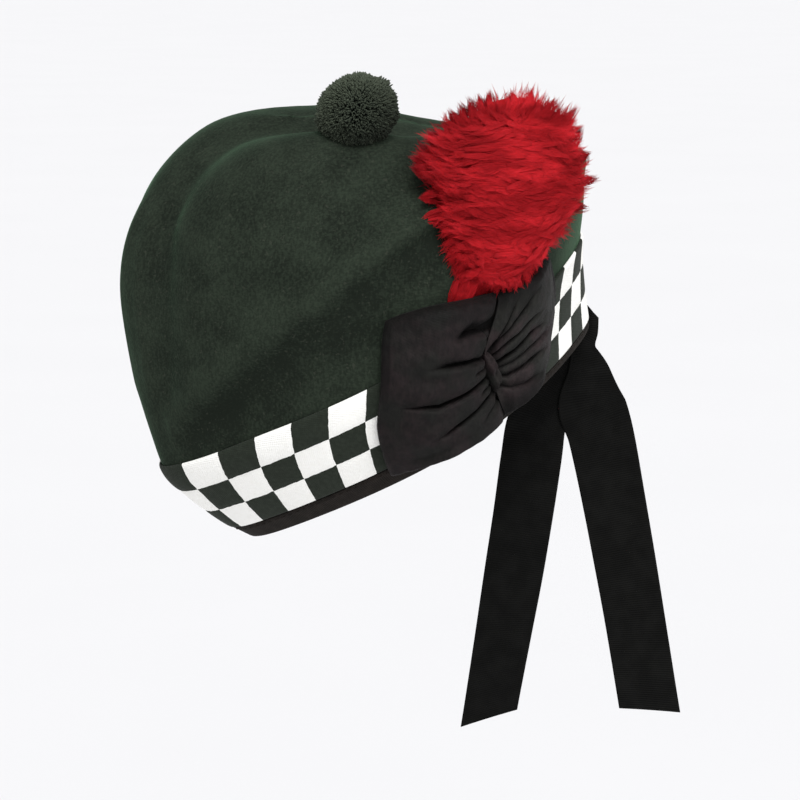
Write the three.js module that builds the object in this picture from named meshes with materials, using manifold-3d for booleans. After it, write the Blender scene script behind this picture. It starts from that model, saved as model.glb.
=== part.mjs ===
// A glengarry cap: a wool felt crown creased along its top, a diced band and a bound rim, a toorie beside the
// crease, a gathered silk cockade with a feather hackle on the left side, and two ribbon tails at the back.
// Millimetres, +Z up. The origin is the middle of the rim opening. The front faces -X and the left side -Y.
import * as THREE from 'three';
import { mergeVertices } from 'three/addons/utils/BufferGeometryUtils.js';
import Module from 'manifold-3d';

const { degToRad, radToDeg, clamp, lerp, smoothstep } = THREE.MathUtils;

// Driving dimensions
const FRONT_DIP = degToRad(28.7); // how far the front of the rim dips below the back
const FELT_WALL = 2.4;
const BAND_CLOTH = 1.2;
const BINDING_TAPE = 1.0;
const SILK = 1.0;
const SEAT_GAP = 0.35; // clearance between pieces that are sewn together

// Sections of the crown: rim, low, middle and top of the dice, bulge, shoulder, brow, crest and top seam.
// Each is a ring that tilts as its back stays low: the reach and height of its front and back, half its
// width, and how far its front narrows to a nose and its back to a stern.
const SECTIONS = [
  { xFront: -101, zFront: 0, xBack: 101, zBack: 0, halfWidth: 76, nose: 0.45, stern: 0.5 },
  { xFront: -109.5, zFront: 14, xBack: 107, zBack: 17.5, halfWidth: 81.5, nose: 0.47, stern: 0.48 },
  { xFront: -118, zFront: 34, xBack: 115.5, zBack: 37.5, halfWidth: 86.5, nose: 0.48, stern: 0.4 },
  { xFront: -122.5, zFront: 53, xBack: 126, zBack: 55, halfWidth: 90, nose: 0.48, stern: 0.28 },
  { xFront: -114, zFront: 95.5, xBack: 133.5, zBack: 70, halfWidth: 91, nose: 0.46, stern: 0.12 },
  { xFront: -97, zFront: 141, xBack: 138.5, zBack: 77.5, halfWidth: 85, nose: 0.42, stern: 0.04 },
  { xFront: -70, zFront: 173, xBack: 137.5, zBack: 83, halfWidth: 74, nose: 0.34, stern: 0 },
  { xFront: -28, zFront: 190, xBack: 126, zBack: 95, halfWidth: 54, nose: 0.2, stern: 0 },
  { xFront: 16, zFront: 186, xBack: 109, zBack: 109, halfWidth: 0, nose: 0, stern: 0 },
];
const RIM_ARCH = 5.5; // the rim rises this much at the sides
const ARCH_REACH = 0.6;

// The crease from the brow over the top to the back, by angle round CREASE_CENTRE from straight ahead:
// how far it lies off the middle, half its width and its depth.
const CREASE_CENTRE = { x: 23, z: 60 };
const CREASE_FROM = -10;
const CREASE_STEP = 20;
const CREASE = [
  { offset: -9, halfWidth: 18, depth: 0 },
  { offset: -12, halfWidth: 23, depth: 3 },
  { offset: -15, halfWidth: 29, depth: 8 },
  { offset: -13, halfWidth: 36, depth: 14 },
  { offset: -9, halfWidth: 41, depth: 22 },
  { offset: -13, halfWidth: 39, depth: 21 },
  { offset: -22, halfWidth: 36, depth: 15 },
  { offset: -13, halfWidth: 29, depth: 8 },
  { offset: -2, halfWidth: 25, depth: 7 },
  { offset: 0, halfWidth: 21, depth: 3 },
  { offset: 0, halfWidth: 18, depth: 0 },
];
const CREASE_ROUNDING = 0.12;
const CREASE_SHARPNESS = 1.4;

// Soft folds across both flanks: where each starts and ends seen from the side, its height and spread.
const FOLDS = [
  { xStart: -95, zStart: 62, xEnd: 40, zEnd: 92, height: -4, spread: 13 },
  { xStart: -100, zStart: 86, xEnd: 30, zEnd: 115, height: 3.5, spread: 12 },
];
const FOLD_FADE = 0.25; // share of a fold's length over which each end fades
// Folds fade in between these distances from the middle.
const FLANK_FROM = 20;
const FLANK_TO = 45;

const BINDING_TOP = 0.085; // heights on the wall as a share of the way from the rim to the top seam
const BAND_TOP = 0.375;
// The band comes down to the rim at the back, between these angles from the front in degrees.
const BACK_EDGE = 0.03;
const BACK_TOP = 0.292;
const BACK_FROM = 90;
const BACK_TO = 125;
const BINDING_CLEAR = 0.004;
const SEAM_FROM = 0.999;
const SLOPE_STEP = 0.004;
const WELD = 1e-3;

const CROWN_COLUMNS = 56;
const BAND_ROWS = 4;
const CROWN_ROWS = 15;

// Toorie and hackle: a core with pointed locks fused to it
const CORE_DETAIL = 2;
const TOORIE = {
  x: 34.2, y: -47.1, z: 164.6, radius: 17, halfHeight: 15.5, locks: 36, lockHalfWidth: 5.6, lockReach: 3.4,
};
const HACKLE = {
  x: 67, y: -84, z: 99, halfLength: 39, halfDepth: 13, halfHeight: 43, taper: 0.14, sweep: 9,
  locks: 46, lockHalfWidth: 8.5, lockReach: 9,
};

// Cockade, placed on the wall by the angle round the cap and the share of the wall's height
const LOOPS = [
  {
    name: 'cockade_front_loop', rootAngle: 99.4, edgeAngle: 74.5, edgeSlant: 6.3,
    rootLow: 0.05, rootHigh: 0.415, edgeLow: 0.09, edgeHigh: 0.475, pinch: 4, bulge: 7, gathers: 5,
  },
  {
    name: 'cockade_back_loop', rootAngle: 104, edgeAngle: 122.5, edgeSlant: 3,
    rootLow: 0.05, rootHigh: 0.41, edgeLow: 0.075, edgeHigh: 0.345, pinch: 2, bulge: 6, gathers: 4,
  },
];
const LOOP_STEPS = 8;
const LOOP_RETURN_STEPS = 4;
const LOOP_RETURN_TO = 0.1; // the under layer ends this share of the way from the knot
const LOOP_ROWS = 10;
const LOOP_ROOT_RISE = 4.5; // height of the outer layer over the inner one at the knot
const LOOP_FOLD_RISE = 5; // and at the folded outer edge
const GATHER_DEPTH = 1.3;
const LOOP_MARGIN = 0.01; // clearance past a loop's edges, as a share of the wall's height
const LOOP_LIE = BAND_CLOTH + 2 * SEAT_GAP + SILK / 2; // the inner layer's distance from the felt
const KNOT = {
  angle: 101.7, height: 0.22, halfLength: 4, halfHeight: 17, halfDepth: 6,
  ribs: 5, ribDepth: 0.08, columns: 20, rows: 8,
};

// Ribbon tails, along their length from the back seam: how far each station lies along the ribbons' plane
// and below the seam, and the ribbon's width there.
const RIBBON_PLANE = degToRad(-20);
const SEAM_HEIGHT = 0.1;
const RIBBONS = [
  {
    name: 'ribbon_tail_back', out: 0.68, cut: 0.235,
    stations: [
      { shift: 7.3, drop: 6, width: 6 },
      { shift: 7, drop: 18, width: 5 },
      { shift: 3, drop: 27, width: 12 },
      { shift: 5, drop: 40, width: 22.5 },
      { shift: 6.5, drop: 56, width: 34 },
      { shift: 11.8, drop: 73, width: 33.5 },
      { shift: 19.3, drop: 110, width: 32.2 },
      { shift: 28.5, drop: 160, width: 31.5 },
      { shift: 38, drop: 216, width: 32 },
    ],
  },
  {
    name: 'ribbon_tail_front', out: -0.68, cut: -0.47,
    stations: [
      { shift: 7.2, drop: 9, width: 6 },
      { shift: 7, drop: 20, width: 5 },
      { shift: -3, drop: 32, width: 14 },
      { shift: -13.5, drop: 47, width: 26 },
      { shift: -21, drop: 65, width: 30 },
      { shift: -24, drop: 84, width: 31 },
      { shift: -28.5, drop: 116, width: 30.5 },
      { shift: -35.8, drop: 163, width: 30 },
      { shift: -45, drop: 220, width: 29.5 },
    ],
  },
];
const RIBBON_STEPS = 20;
const RIBBON_SLOPE_STEP = 0.02;
const CUT_FROM = 0.8; // the slanted end of a ribbon starts here

const felt = new THREE.MeshStandardMaterial({ color: 0x1d3a26, roughness: 0.95 });
const dicing = new THREE.MeshStandardMaterial({ color: 0xe9e6dc, roughness: 0.9 });
const tape = new THREE.MeshStandardMaterial({ color: 0x141414, roughness: 0.8 });
const wool = new THREE.MeshStandardMaterial({ color: 0x24402a, roughness: 1 });
const feather = new THREE.MeshStandardMaterial({ color: 0xb01520, roughness: 0.7 });
const silk = new THREE.MeshStandardMaterial({ color: 0x2a2628, roughness: 0.45 });
const ribbon = new THREE.MeshStandardMaterial({ color: 0x111111, roughness: 0.6 });

const wasm = await Module();
wasm.setup();

// Tables and closed bodies

// A smooth curve through every column of a table, read at u from 0 at the first row to 1 at the last.
function tableCurve(rows) {
  const columns = Object.keys(rows[0]).filter((key) => typeof rows[0][key] === 'number');
  const points = (key) => rows.map((row, i) => new THREE.Vector2(i, row[key]));
  const curves = columns.map((key) => new THREE.SplineCurve(points(key)));
  return (u) => Object.fromEntries(columns.map((key, k) => [key, curves[k].getPoint(clamp(u, 0, 1)).y]));
}

// One geometry from quads, each given by its four corners in turn.
function quadGeometry(quads) {
  const corners = quads.flatMap(([a, b, c, d]) => [a, b, c, a, c, d]);
  const geometry = new THREE.BufferGeometry();
  geometry.setAttribute('position', new THREE.Float32BufferAttribute(corners.flatMap((p) => p.toArray()), 3));
  return weld(geometry);
}

// Shared corners are merged, and triangles that have closed up are dropped.
function weld(geometry) {
  geometry.deleteAttribute('normal');
  geometry.deleteAttribute('uv');
  const merged = mergeVertices(geometry, WELD);
  const index = merged.index.array;
  const kept = [];
  for (let i = 0; i < index.length; i += 3) {
    const [a, b, c] = [index[i], index[i + 1], index[i + 2]];
    if (a !== b && b !== c && c !== a) kept.push(a, b, c);
  }
  merged.setIndex(kept);
  return merged;
}

// The quads of a grid of points, turned over when flip is set. A ring joins its last column to its first.
function gridQuads(grid, ring, flip) {
  const quads = [];
  const columns = ring ? grid.length : grid.length - 1;
  for (let i = 0; i < columns; i++) {
    const here = grid[i];
    const next = grid[(i + 1) % grid.length];
    for (let j = 0; j + 1 < here.length; j++) {
      const quad = [here[j], next[j], next[j + 1], here[j + 1]];
      quads.push(flip ? [quad[0], quad[3], quad[2], quad[1]] : quad);
    }
  }
  return quads;
}

// A closed body between an outer and an inner grid, joined along its open edges.
function shellGeometry(outer, inner, { ring = false, closeEnd = true } = {}) {
  const last = outer[0].length - 1;
  const edge = (grid, j) => grid.map((column) => column[j]);
  const strip = (a, b) => gridQuads(a.map((p, i) => [p, b[i]]), ring, false);
  const quads = [...gridQuads(outer, ring, false), ...gridQuads(inner, ring, true)];
  quads.push(...strip(edge(inner, 0), edge(outer, 0)));
  if (closeEnd) quads.push(...strip(edge(outer, last), edge(inner, last)));
  if (!ring) {
    const side = (a, b) => gridQuads([a, b], false, false);
    quads.push(...side(inner[0], outer[0]), ...side(outer[outer.length - 1], inner[inner.length - 1]));
  }
  return quadGeometry(quads);
}

// A cloth of the given thickness about a grid of points, with its faces along the grid's own normals.
function clothGeometry(grid, thickness) {
  const at = (i, j) => grid[clamp(i, 0, grid.length - 1)][clamp(j, 0, grid[0].length - 1)];
  const offset = (distance) => grid.map((column, i) => column.map((p, j) => {
    const across = at(i + 1, j).clone().sub(at(i - 1, j));
    const along = at(i, j + 1).clone().sub(at(i, j - 1));
    return p.clone().addScaledVector(across.cross(along).normalize(), distance);
  }));
  return shellGeometry(offset(thickness / 2), offset(-thickness / 2));
}

function toSolid(geometry) {
  const welded = geometry.attributes.uv ? weld(geometry) : geometry;
  return new wasm.Manifold(new wasm.Mesh({
    numProp: 3,
    vertProperties: new Float32Array(welded.attributes.position.array),
    triVerts: new Uint32Array(welded.index.array),
  }));
}

function fromSolid(solid) {
  const mesh = solid.getMesh();
  const geometry = new THREE.BufferGeometry();
  geometry.setAttribute('position', new THREE.BufferAttribute(mesh.vertProperties, 3));
  geometry.setIndex(new THREE.BufferAttribute(mesh.triVerts, 1));
  return geometry;
}

function range(count, from, to) {
  return Array.from({ length: count + 1 }, (_, i) => from + (to - from) * i / count);
}

function named(name, geometry, material) {
  const mesh = new THREE.Mesh(geometry, material);
  mesh.name = name;
  return mesh;
}

// Crown surface, by the angle round the cap from the front over the left and the share of the wall's height

const sectionAt = tableCurve(SECTIONS);
const creaseAt = tableCurve(CREASE);

function ringPoint(angle, height) {
  const s = sectionAt(height);
  const ahead = Math.cos(angle);
  const side = Math.sin(angle);
  const taper = 1 - (ahead > 0 ? s.nose : s.stern) * ahead ** 2;
  const arch = RIM_ARCH * side ** 2 * Math.max(0, 1 - height / ARCH_REACH);
  return new THREE.Vector3(
    (s.xFront + s.xBack) / 2 - (s.xBack - s.xFront) / 2 * ahead,
    -s.halfWidth * side * taper,
    (s.zFront + s.zBack) / 2 + (s.zFront - s.zBack) / 2 * ahead + arch,
  );
}

function creaseOutward(point) {
  return new THREE.Vector3(point.x - CREASE_CENTRE.x, 0, point.z - CREASE_CENTRE.z).normalize();
}

function pressCrease(point) {
  const outward = creaseOutward(point);
  const angle = radToDeg(Math.atan2(outward.z, -outward.x));
  const crease = creaseAt((angle - CREASE_FROM) / (CREASE_STEP * (CREASE.length - 1)));
  const off = Math.hypot((point.y - crease.offset) / crease.halfWidth, CREASE_ROUNDING);
  const share = Math.max(0, 1 - off) ** CREASE_SHARPNESS;
  return point.addScaledVector(outward, -Math.max(0, crease.depth) * share);
}

function raiseFolds(point) {
  const flank = smoothstep(Math.abs(point.y), FLANK_FROM, FLANK_TO);
  const rise = FOLDS.reduce((sum, fold) => {
    const run = new THREE.Vector2(fold.xEnd - fold.xStart, fold.zEnd - fold.zStart);
    const from = new THREE.Vector2(point.x - fold.xStart, point.z - fold.zStart);
    const along = from.dot(run) / run.lengthSq();
    const off = from.cross(run) / run.length();
    const fadeIn = smoothstep(along, -FOLD_FADE / 2, FOLD_FADE / 2);
    const fadeOut = smoothstep(1 - along, -FOLD_FADE / 2, FOLD_FADE / 2);
    return sum + fold.height * fadeIn * fadeOut * Math.exp(-((off / fold.spread) ** 2));
  }, 0);
  point.y += Math.sign(point.y) * flank * rise;
  return point;
}

function crownPoint(angle, height) {
  return raiseFolds(pressCrease(ringPoint(angle, height)));
}

function crownNormal(angle, height) {
  if (height > SEAM_FROM) return creaseOutward(crownPoint(angle, height));
  const round = crownPoint(angle + SLOPE_STEP, height).sub(crownPoint(angle - SLOPE_STEP, height));
  return round.cross(wallRise(angle, height)).normalize();
}

// The way up the wall.
function wallRise(angle, height) {
  const low = Math.max(0, height - SLOPE_STEP);
  const high = Math.min(SEAM_FROM, height + SLOPE_STEP);
  return crownPoint(angle, high).sub(crownPoint(angle, low)).normalize();
}

// A point at a distance off the felt's outer face, outwards when it is positive.
function offCrown(angle, height, distance) {
  return crownPoint(angle, height).addScaledVector(crownNormal(angle, height), distance);
}

const columnAngles = range(CROWN_COLUMNS, 0, 2 * Math.PI).slice(0, -1);

// How far the band has come down towards the rim.
function comeDown(angle) {
  const behind = radToDeg(Math.PI - Math.abs(Math.PI - angle));
  return smoothstep(behind, BACK_FROM, BACK_TO);
}

// The height of the seam between the tape and the band.
function lowEdge(angle) {
  return lerp(BINDING_TOP, BACK_EDGE, comeDown(angle));
}

function highEdge(angle) {
  return lerp(BAND_TOP, BACK_TOP, comeDown(angle));
}

function bandHeights(angle) {
  return range(BAND_ROWS, lowEdge(angle), highEdge(angle));
}

function crownHeights(angle) {
  return [0, ...bandHeights(angle), ...range(CROWN_ROWS, highEdge(angle), 1).slice(1)];
}

function ringGrid(heights, distance) {
  return columnAngles.map((angle) => heights(angle).map((height) => offCrown(angle, height, distance)));
}

function crownGeometry() {
  const outer = ringGrid(crownHeights, 0);
  const inner = ringGrid(crownHeights, -FELT_WALL);
  return shellGeometry(outer, inner, { ring: true, closeEnd: false });
}

// The whole form filled in, a little larger than the crown and band, for seating what is sewn on.
function seatingForm() {
  const outer = columnAngles.map((angle) => crownHeights(angle).map((height) => {
    const cover = height <= highEdge(angle) ? BAND_CLOTH + SEAT_GAP : 0;
    return offCrown(angle, height, cover + SEAT_GAP);
  }));
  const middle = new THREE.Vector3();
  const floor = outer.map((column, i) => {
    const next = outer[(i + 1) % outer.length];
    return [middle, next[0], column[0], column[0]];
  });
  return toSolid(quadGeometry([...gridQuads(outer, true, false), ...floor]));
}

function bandGeometry() {
  return shellGeometry(
    ringGrid(bandHeights, SEAT_GAP + BAND_CLOTH),
    ringGrid(bandHeights, SEAT_GAP),
    { ring: true },
  );
}

// The tape folds under the rim: each edge of its section lies off a corner of the felt.
function bindingGeometry() {
  const grid = (distance) => columnAngles.map((angle) => {
    const top = lowEdge(angle) - BINDING_CLEAR;
    const wall = crownPoint(angle, top).sub(crownPoint(angle, 0)).normalize();
    const down = (point) => point.addScaledVector(wall, -distance);
    return [
      offCrown(angle, top, -FELT_WALL - distance),
      down(offCrown(angle, 0, -FELT_WALL - distance)),
      down(offCrown(angle, 0, distance)),
      offCrown(angle, top, distance),
    ];
  });
  return shellGeometry(grid(SEAT_GAP + BINDING_TAPE), grid(SEAT_GAP), { ring: true });
}

// Directions spread evenly over a ball.
function evenDirections(count) {
  const golden = Math.PI * (3 - Math.sqrt(5));
  return Array.from({ length: count }, (_, i) => {
    const z = 1 - (2 * i + 1) / count;
    const across = Math.sqrt(1 - z * z);
    return new THREE.Vector3(across * Math.cos(golden * i), across * Math.sin(golden * i), z);
  });
}

// A round core of the given half sizes with pointed locks fused to it, each standing out from its face.
function tuftedSolid(halfSizes, { locks, lockHalfWidth, lockReach }) {
  const core = new THREE.IcosahedronGeometry(1, CORE_DETAIL).scale(halfSizes.x, halfSizes.y, halfSizes.z);
  return evenDirections(locks).reduce((body, direction) => {
    const face = direction.clone().multiply(halfSizes);
    const outward = direction.clone().divide(halfSizes).normalize();
    const lock = new THREE.OctahedronGeometry(1).scale(lockHalfWidth, lockReach, lockHalfWidth);
    lock.applyQuaternion(new THREE.Quaternion().setFromUnitVectors(THREE.Object3D.DEFAULT_UP, outward));
    return body.add(toSolid(lock.translate(face.x, face.y, face.z)));
  }, toSolid(core));
}

function toorieGeometry(seat) {
  const halfSizes = new THREE.Vector3(TOORIE.radius, TOORIE.radius, TOORIE.halfHeight);
  const ball = tuftedSolid(halfSizes, TOORIE).translate([TOORIE.x, TOORIE.y, TOORIE.z]);
  return seated(ball, seat, []);
}

// The hackle narrows and sweeps forward towards its foot, and stands upright when the front of the cap dips.
function hackleGeometry(seat, cockade) {
  const halfSizes = new THREE.Vector3(HACKLE.halfLength, HACKLE.halfDepth, HACKLE.halfHeight);
  const plume = fromSolid(tuftedSolid(halfSizes, HACKLE));
  const p = plume.attributes.position;
  for (let i = 0; i < p.count; i++) {
    const share = p.getZ(i) / HACKLE.halfHeight;
    p.setX(i, p.getX(i) * (1 + HACKLE.taper * share) - HACKLE.sweep * Math.max(0, -share) ** 2);
  }
  plume.rotateY(FRONT_DIP).translate(HACKLE.x, HACKLE.y, HACKLE.z);
  return seated(toSolid(plume), seat, cockade);
}

// A body cut back from the cap it sits on and from the loops it touches.
function seated(body, seat, cockade) {
  return fromSolid(cockade.reduce((rest, loop) => rest.subtract(loop), body.subtract(seat)));
}

// A cockade loop runs out from the knot, folds at its outer edge and comes back beneath itself.
function loopGrid(loop, margin) {
  const outward = range(LOOP_STEPS, 0, 1).map((u) => ({ u, top: true }));
  const back = range(LOOP_RETURN_STEPS, 1, LOOP_RETURN_TO).map((u) => ({ u, top: false }));
  return range(LOOP_ROWS, -1, 1).map((w) => [...outward, ...back].map(({ u, top }) => {
    const open = 1 - (1 - u) ** loop.pinch;
    const angle = lerp(loop.rootAngle, loop.edgeAngle + loop.edgeSlant * w, u);
    const low = lerp(loop.rootLow, loop.edgeLow, open) - margin;
    const high = lerp(loop.rootHigh, loop.edgeHigh, open) + margin;
    const height = lerp(low, high, (w + 1) / 2);
    const gather = GATHER_DEPTH * (1 - u) * Math.cos(Math.PI * loop.gathers * w);
    const swell = lerp(LOOP_ROOT_RISE, LOOP_FOLD_RISE, u) + loop.bulge * Math.sin(Math.PI * u);
    return offCrown(degToRad(angle), height, LOOP_LIE + (top ? swell + gather : 0));
  }));
}

function loopGeometry(loop, { margin = 0, thickness = SILK } = {}) {
  return outwardFacing(clothGeometry(loopGrid(loop, margin), thickness));
}

// A geometry whose faces all point inwards is turned inside out.
function outwardFacing(geometry) {
  const index = geometry.index.array;
  const p = geometry.attributes.position;
  let volume = 0;
  const [a, b, c] = [new THREE.Vector3(), new THREE.Vector3(), new THREE.Vector3()];
  for (let i = 0; i < index.length; i += 3) {
    a.fromBufferAttribute(p, index[i]);
    b.fromBufferAttribute(p, index[i + 1]);
    c.fromBufferAttribute(p, index[i + 2]);
    volume += a.dot(b.cross(c));
  }
  if (volume < 0) geometry.setIndex(Array.from(index).reverse());
  return geometry;
}

// The knot is a ribbed wrap that stands upright between the two loops.
function knotGeometry() {
  const wrap = new THREE.SphereGeometry(1, KNOT.columns, KNOT.rows);
  const p = wrap.attributes.position;
  for (let i = 0; i < p.count; i++) {
    const round = Math.atan2(p.getZ(i), p.getX(i));
    const rib = 1 - KNOT.ribDepth * (1 + Math.cos(KNOT.ribs * 2 * round)) * (1 - p.getY(i) ** 2);
    p.setX(i, p.getX(i) * rib * KNOT.halfLength);
    p.setY(i, p.getY(i) * KNOT.halfHeight);
    p.setZ(i, p.getZ(i) * rib * KNOT.halfDepth);
  }
  const angle = degToRad(KNOT.angle);
  const out = crownNormal(angle, KNOT.height);
  const up = wallRise(angle, KNOT.height);
  const frame = new THREE.Matrix4().makeBasis(up.clone().cross(out), up, out);
  frame.setPosition(offCrown(angle, KNOT.height, BAND_CLOTH + 2 * SEAT_GAP + KNOT.halfDepth));
  return weld(wrap).applyMatrix4(frame);
}

// Each ribbon hangs flat in one upright plane through the back seam.
function ribbonGeometry({ stations, out, cut }) {
  const seam = offCrown(Math.PI, SEAM_HEIGHT, 0).applyAxisAngle(new THREE.Vector3(0, 1, 0), -FRONT_DIP);
  const along = new THREE.Vector3(Math.cos(RIBBON_PLANE), Math.sin(RIBBON_PLANE), 0);
  const towards = new THREE.Vector3(Math.sin(RIBBON_PLANE), -Math.cos(RIBBON_PLANE), 0);
  const at = tableCurve(stations);
  const grid = [-0.5, 0, 0.5].map((share) => range(RIBBON_STEPS, 0, 1).map((u) => {
    const { shift, drop, width } = at(u);
    const [before, after] = [at(u - RIBBON_SLOPE_STEP), at(u + RIBBON_SLOPE_STEP)];
    const run = new THREE.Vector2(after.shift - before.shift, after.drop - before.drop).normalize();
    const across = share * width;
    const slant = cut * across * smoothstep(u, CUT_FROM, 1);
    return seam.clone()
      .addScaledVector(along, shift + run.y * across)
      .addScaledVector(towards, out)
      .add(new THREE.Vector3(0, 0, run.x * across - drop - slant));
  }));
  return outwardFacing(clothGeometry(grid, SILK));
}

// Assembly

const seat = seatingForm();
const clearance = { margin: LOOP_MARGIN, thickness: SILK + 2 * SEAT_GAP };
const loopClearances = LOOPS.map((loop) => toSolid(loopGeometry(loop, clearance)));

const cap = new THREE.Group();
cap.rotation.y = -FRONT_DIP;
cap.add(
  named('crown', crownGeometry(), felt),
  named('diced_band', bandGeometry(), dicing),
  named('edge_binding', bindingGeometry(), tape),
  named('toorie', toorieGeometry(seat), wool),
  named('hackle', hackleGeometry(seat, loopClearances), feather),
  named('cockade_knot', knotGeometry(), silk),
  ...LOOPS.map((loop) => named(loop.name, loopGeometry(loop), silk)),
);

const glengarry = new THREE.Group();
glengarry.add(cap, ...RIBBONS.map((tail) => named(tail.name, ribbonGeometry(tail), ribbon)));

export default glengarry;
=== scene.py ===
"""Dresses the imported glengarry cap: crown, diced band, bound rim, toorie, cockade, hackle and ribbon tails.

Shapes are worked out in millimetres in the cap's own frame, where the rim lies level. They are then tipped
forward about the middle of the rim opening and written in metres. The plume and the ribbon tails are worked
out in the upright frame itself. A place on the wall is an angle round the cap, from the front over the left
side, and a share of the wall's height.
"""

from __future__ import annotations

import logging
import math
from dataclasses import dataclass, field
from enum import Enum
from typing import Any, NamedTuple, Sequence

import bmesh
import bpy
import numpy as np
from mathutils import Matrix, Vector, kdtree

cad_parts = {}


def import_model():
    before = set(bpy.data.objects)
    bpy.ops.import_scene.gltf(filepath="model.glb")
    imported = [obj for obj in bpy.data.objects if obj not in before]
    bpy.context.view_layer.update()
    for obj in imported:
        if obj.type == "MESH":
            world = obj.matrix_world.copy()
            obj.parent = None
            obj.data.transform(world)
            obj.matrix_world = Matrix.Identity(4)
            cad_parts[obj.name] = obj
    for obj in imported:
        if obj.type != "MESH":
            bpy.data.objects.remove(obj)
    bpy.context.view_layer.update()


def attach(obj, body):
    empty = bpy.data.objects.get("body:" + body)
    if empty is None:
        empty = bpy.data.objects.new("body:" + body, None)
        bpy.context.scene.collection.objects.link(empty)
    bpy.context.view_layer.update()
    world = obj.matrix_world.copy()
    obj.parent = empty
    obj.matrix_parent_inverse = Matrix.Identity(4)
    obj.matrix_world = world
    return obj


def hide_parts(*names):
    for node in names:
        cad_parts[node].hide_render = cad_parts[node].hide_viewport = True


LOG = logging.getLogger("glengarry")
MM = 0.001
BODY = "root"
FRONT_DIP = math.radians(28.7)
TURN = 2.0 * math.pi

# The felt's thickness, the rows of checks and the turn of the plane that faces the camera
FELT_WALL = 2.4
CHECKS_HIGH = 3
FACING = math.radians(-20.0)

# The least length to divide by, how close points merge in metres, and how many waves make an uneven swell
SHORTEST = 1e-9
WELD = 1e-6
WAVES = 9

Array = np.ndarray
Colour = tuple[float, float, float]
Triple = tuple[float, float, float]
Range = tuple[float, float]


class Slot(Enum):
    """The record's material slots."""

    FELT = "felt"
    DICING = "dicing"
    TAPE = "tape"
    WOOL = "wool"
    FEATHER = "feather"
    SILK = "silk"
    RIBBON = "ribbon"


class Hold(Enum):
    """How a sheet of cloth is held."""

    FOLDED = "folded"
    GATHERED = "gathered"
    HUNG = "hung"
    STRETCHED = "stretched"


# Numbers and tables


def smooth(value: Array, low: float, high: float) -> Array:
    """Rises softly from 0 at low to 1 at high."""
    share = np.clip((value - low) / (high - low), 0.0, 1.0)
    return share * share * (3.0 - 2.0 * share)


def mix(first: Any, second: Any, share: Any) -> Any:
    """Goes from first to second as share goes from 0 to 1."""
    return first + (second - first) * share


def ripple(points: Array, length: float, seed: int) -> Array:
    """Gives a soft uneven swell over space.

    Args:
        points: places in millimetres.
        length: the usual distance between swells.
        seed: fixes the swell's directions.

    Returns:
        A value for each point, mostly between -1 and 1.
    """
    draw = np.random.default_rng(seed)
    waves = draw.normal(size=(3, WAVES))
    waves *= TURN / length / np.linalg.norm(waves, axis=0)
    return np.sin(points @ waves + draw.uniform(0, TURN, WAVES)).sum(-1) / math.sqrt(WAVES)


def table_curve(rows: Sequence[Sequence[float]], share: Array) -> list[Array]:
    """Reads a smooth curve through each column of a table.

    Args:
        rows: the table's rows, evenly spaced.
        share: places from 0 at the first row to 1 at the last.

    Returns:
        One array of values for each column.
    """
    table = np.array(rows, dtype=float)
    last = len(table) - 1
    place = np.clip(np.asarray(share, dtype=float), 0.0, 1.0) * last
    row = np.minimum(place.astype(int), last)
    part = (place - row)[..., None]
    before, here, after, beyond = (table[np.clip(row + step, 0, last)] for step in (-1, 0, 1, 2))
    lead, trail = (after - before) / 2, (beyond - here) / 2
    cubic = 2 * here - 2 * after + lead + trail
    square = 3 * after - 3 * here - 2 * lead - trail
    return list(np.moveaxis(((cubic * part + square) * part + lead) * part + here, -1, 0))


def tip(points: Array) -> Array:
    """Tips points of the level cap forward.

    Args:
        points: places in millimetres in the cap's own frame.

    Returns:
        The places in metres in the upright frame.
    """
    x, y, z = np.moveaxis(points, -1, 0)
    c, s = math.cos(FRONT_DIP), math.sin(FRONT_DIP)
    return np.stack([x * c - z * s, y, x * s + z * c], -1) * MM


def unit(vectors: Array) -> Array:
    """Scales vectors to length 1."""
    return vectors / np.maximum(np.linalg.norm(vectors, axis=-1, keepdims=True), SHORTEST)


def arc_length(line: Array) -> Array:
    """Gives how far along a line each of its points lies."""
    return np.concatenate([[0.0], np.cumsum(np.linalg.norm(np.diff(line, axis=0), axis=-1))])


def from_front(angle: Array) -> Array:
    """Gives how many degrees a place lies from the front, on either side."""
    turned = angle % TURN
    return np.degrees(np.minimum(turned, TURN - turned))


def both_faces(middle: Array, thickness: float) -> tuple[Array, Array]:
    """Gives a sheet of cloth its thickness.

    Args:
        middle: the grid of points halfway through the cloth.
        thickness: the thickness of the cloth.

    Returns:
        The points of its outer and inner face.
    """
    normal = unit(np.cross(np.gradient(middle, axis=0), np.gradient(middle, axis=1)))
    half = normal * thickness / 2
    return middle + half, middle - half


def even_directions(count: int) -> Array:
    """Spreads directions evenly over a ball, each turned by the golden angle from the one before.

    Args:
        count: how many there are.

    Returns:
        Vectors of length 1.
    """
    step = np.arange(count)
    z = 1.0 - (2.0 * step + 1.0) / count
    turn = step * math.pi * (3.0 - math.sqrt(5.0))
    across = np.sqrt(1.0 - z * z)
    return np.stack([across * np.cos(turn), across * np.sin(turn), z], -1)


# The crown's form


class Section(NamedTuple):
    """A ring of the crown: its front, its back, half its width and how far each end narrows."""

    x_front: float
    z_front: float
    x_back: float
    z_back: float
    half_width: float
    nose: float
    stern: float


class Crease(NamedTuple):
    """The crease at one place: its distance off the middle, half its width and its depth."""

    offset: float
    half_width: float
    depth: float


class Fold(NamedTuple):
    """A soft fold on the flanks, seen from the side: start, end, height and spread."""

    x_start: float
    z_start: float
    x_end: float
    z_end: float
    height: float
    spread: float


class Dent(NamedTuple):
    """A line worked into the felt: its places by angle and height, its rise, its width and its tone, a
    painted highlight where positive and painted shade where negative.
    """

    path: tuple[tuple[float, float], ...]
    rise: float
    spread: float
    tone: float


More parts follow.
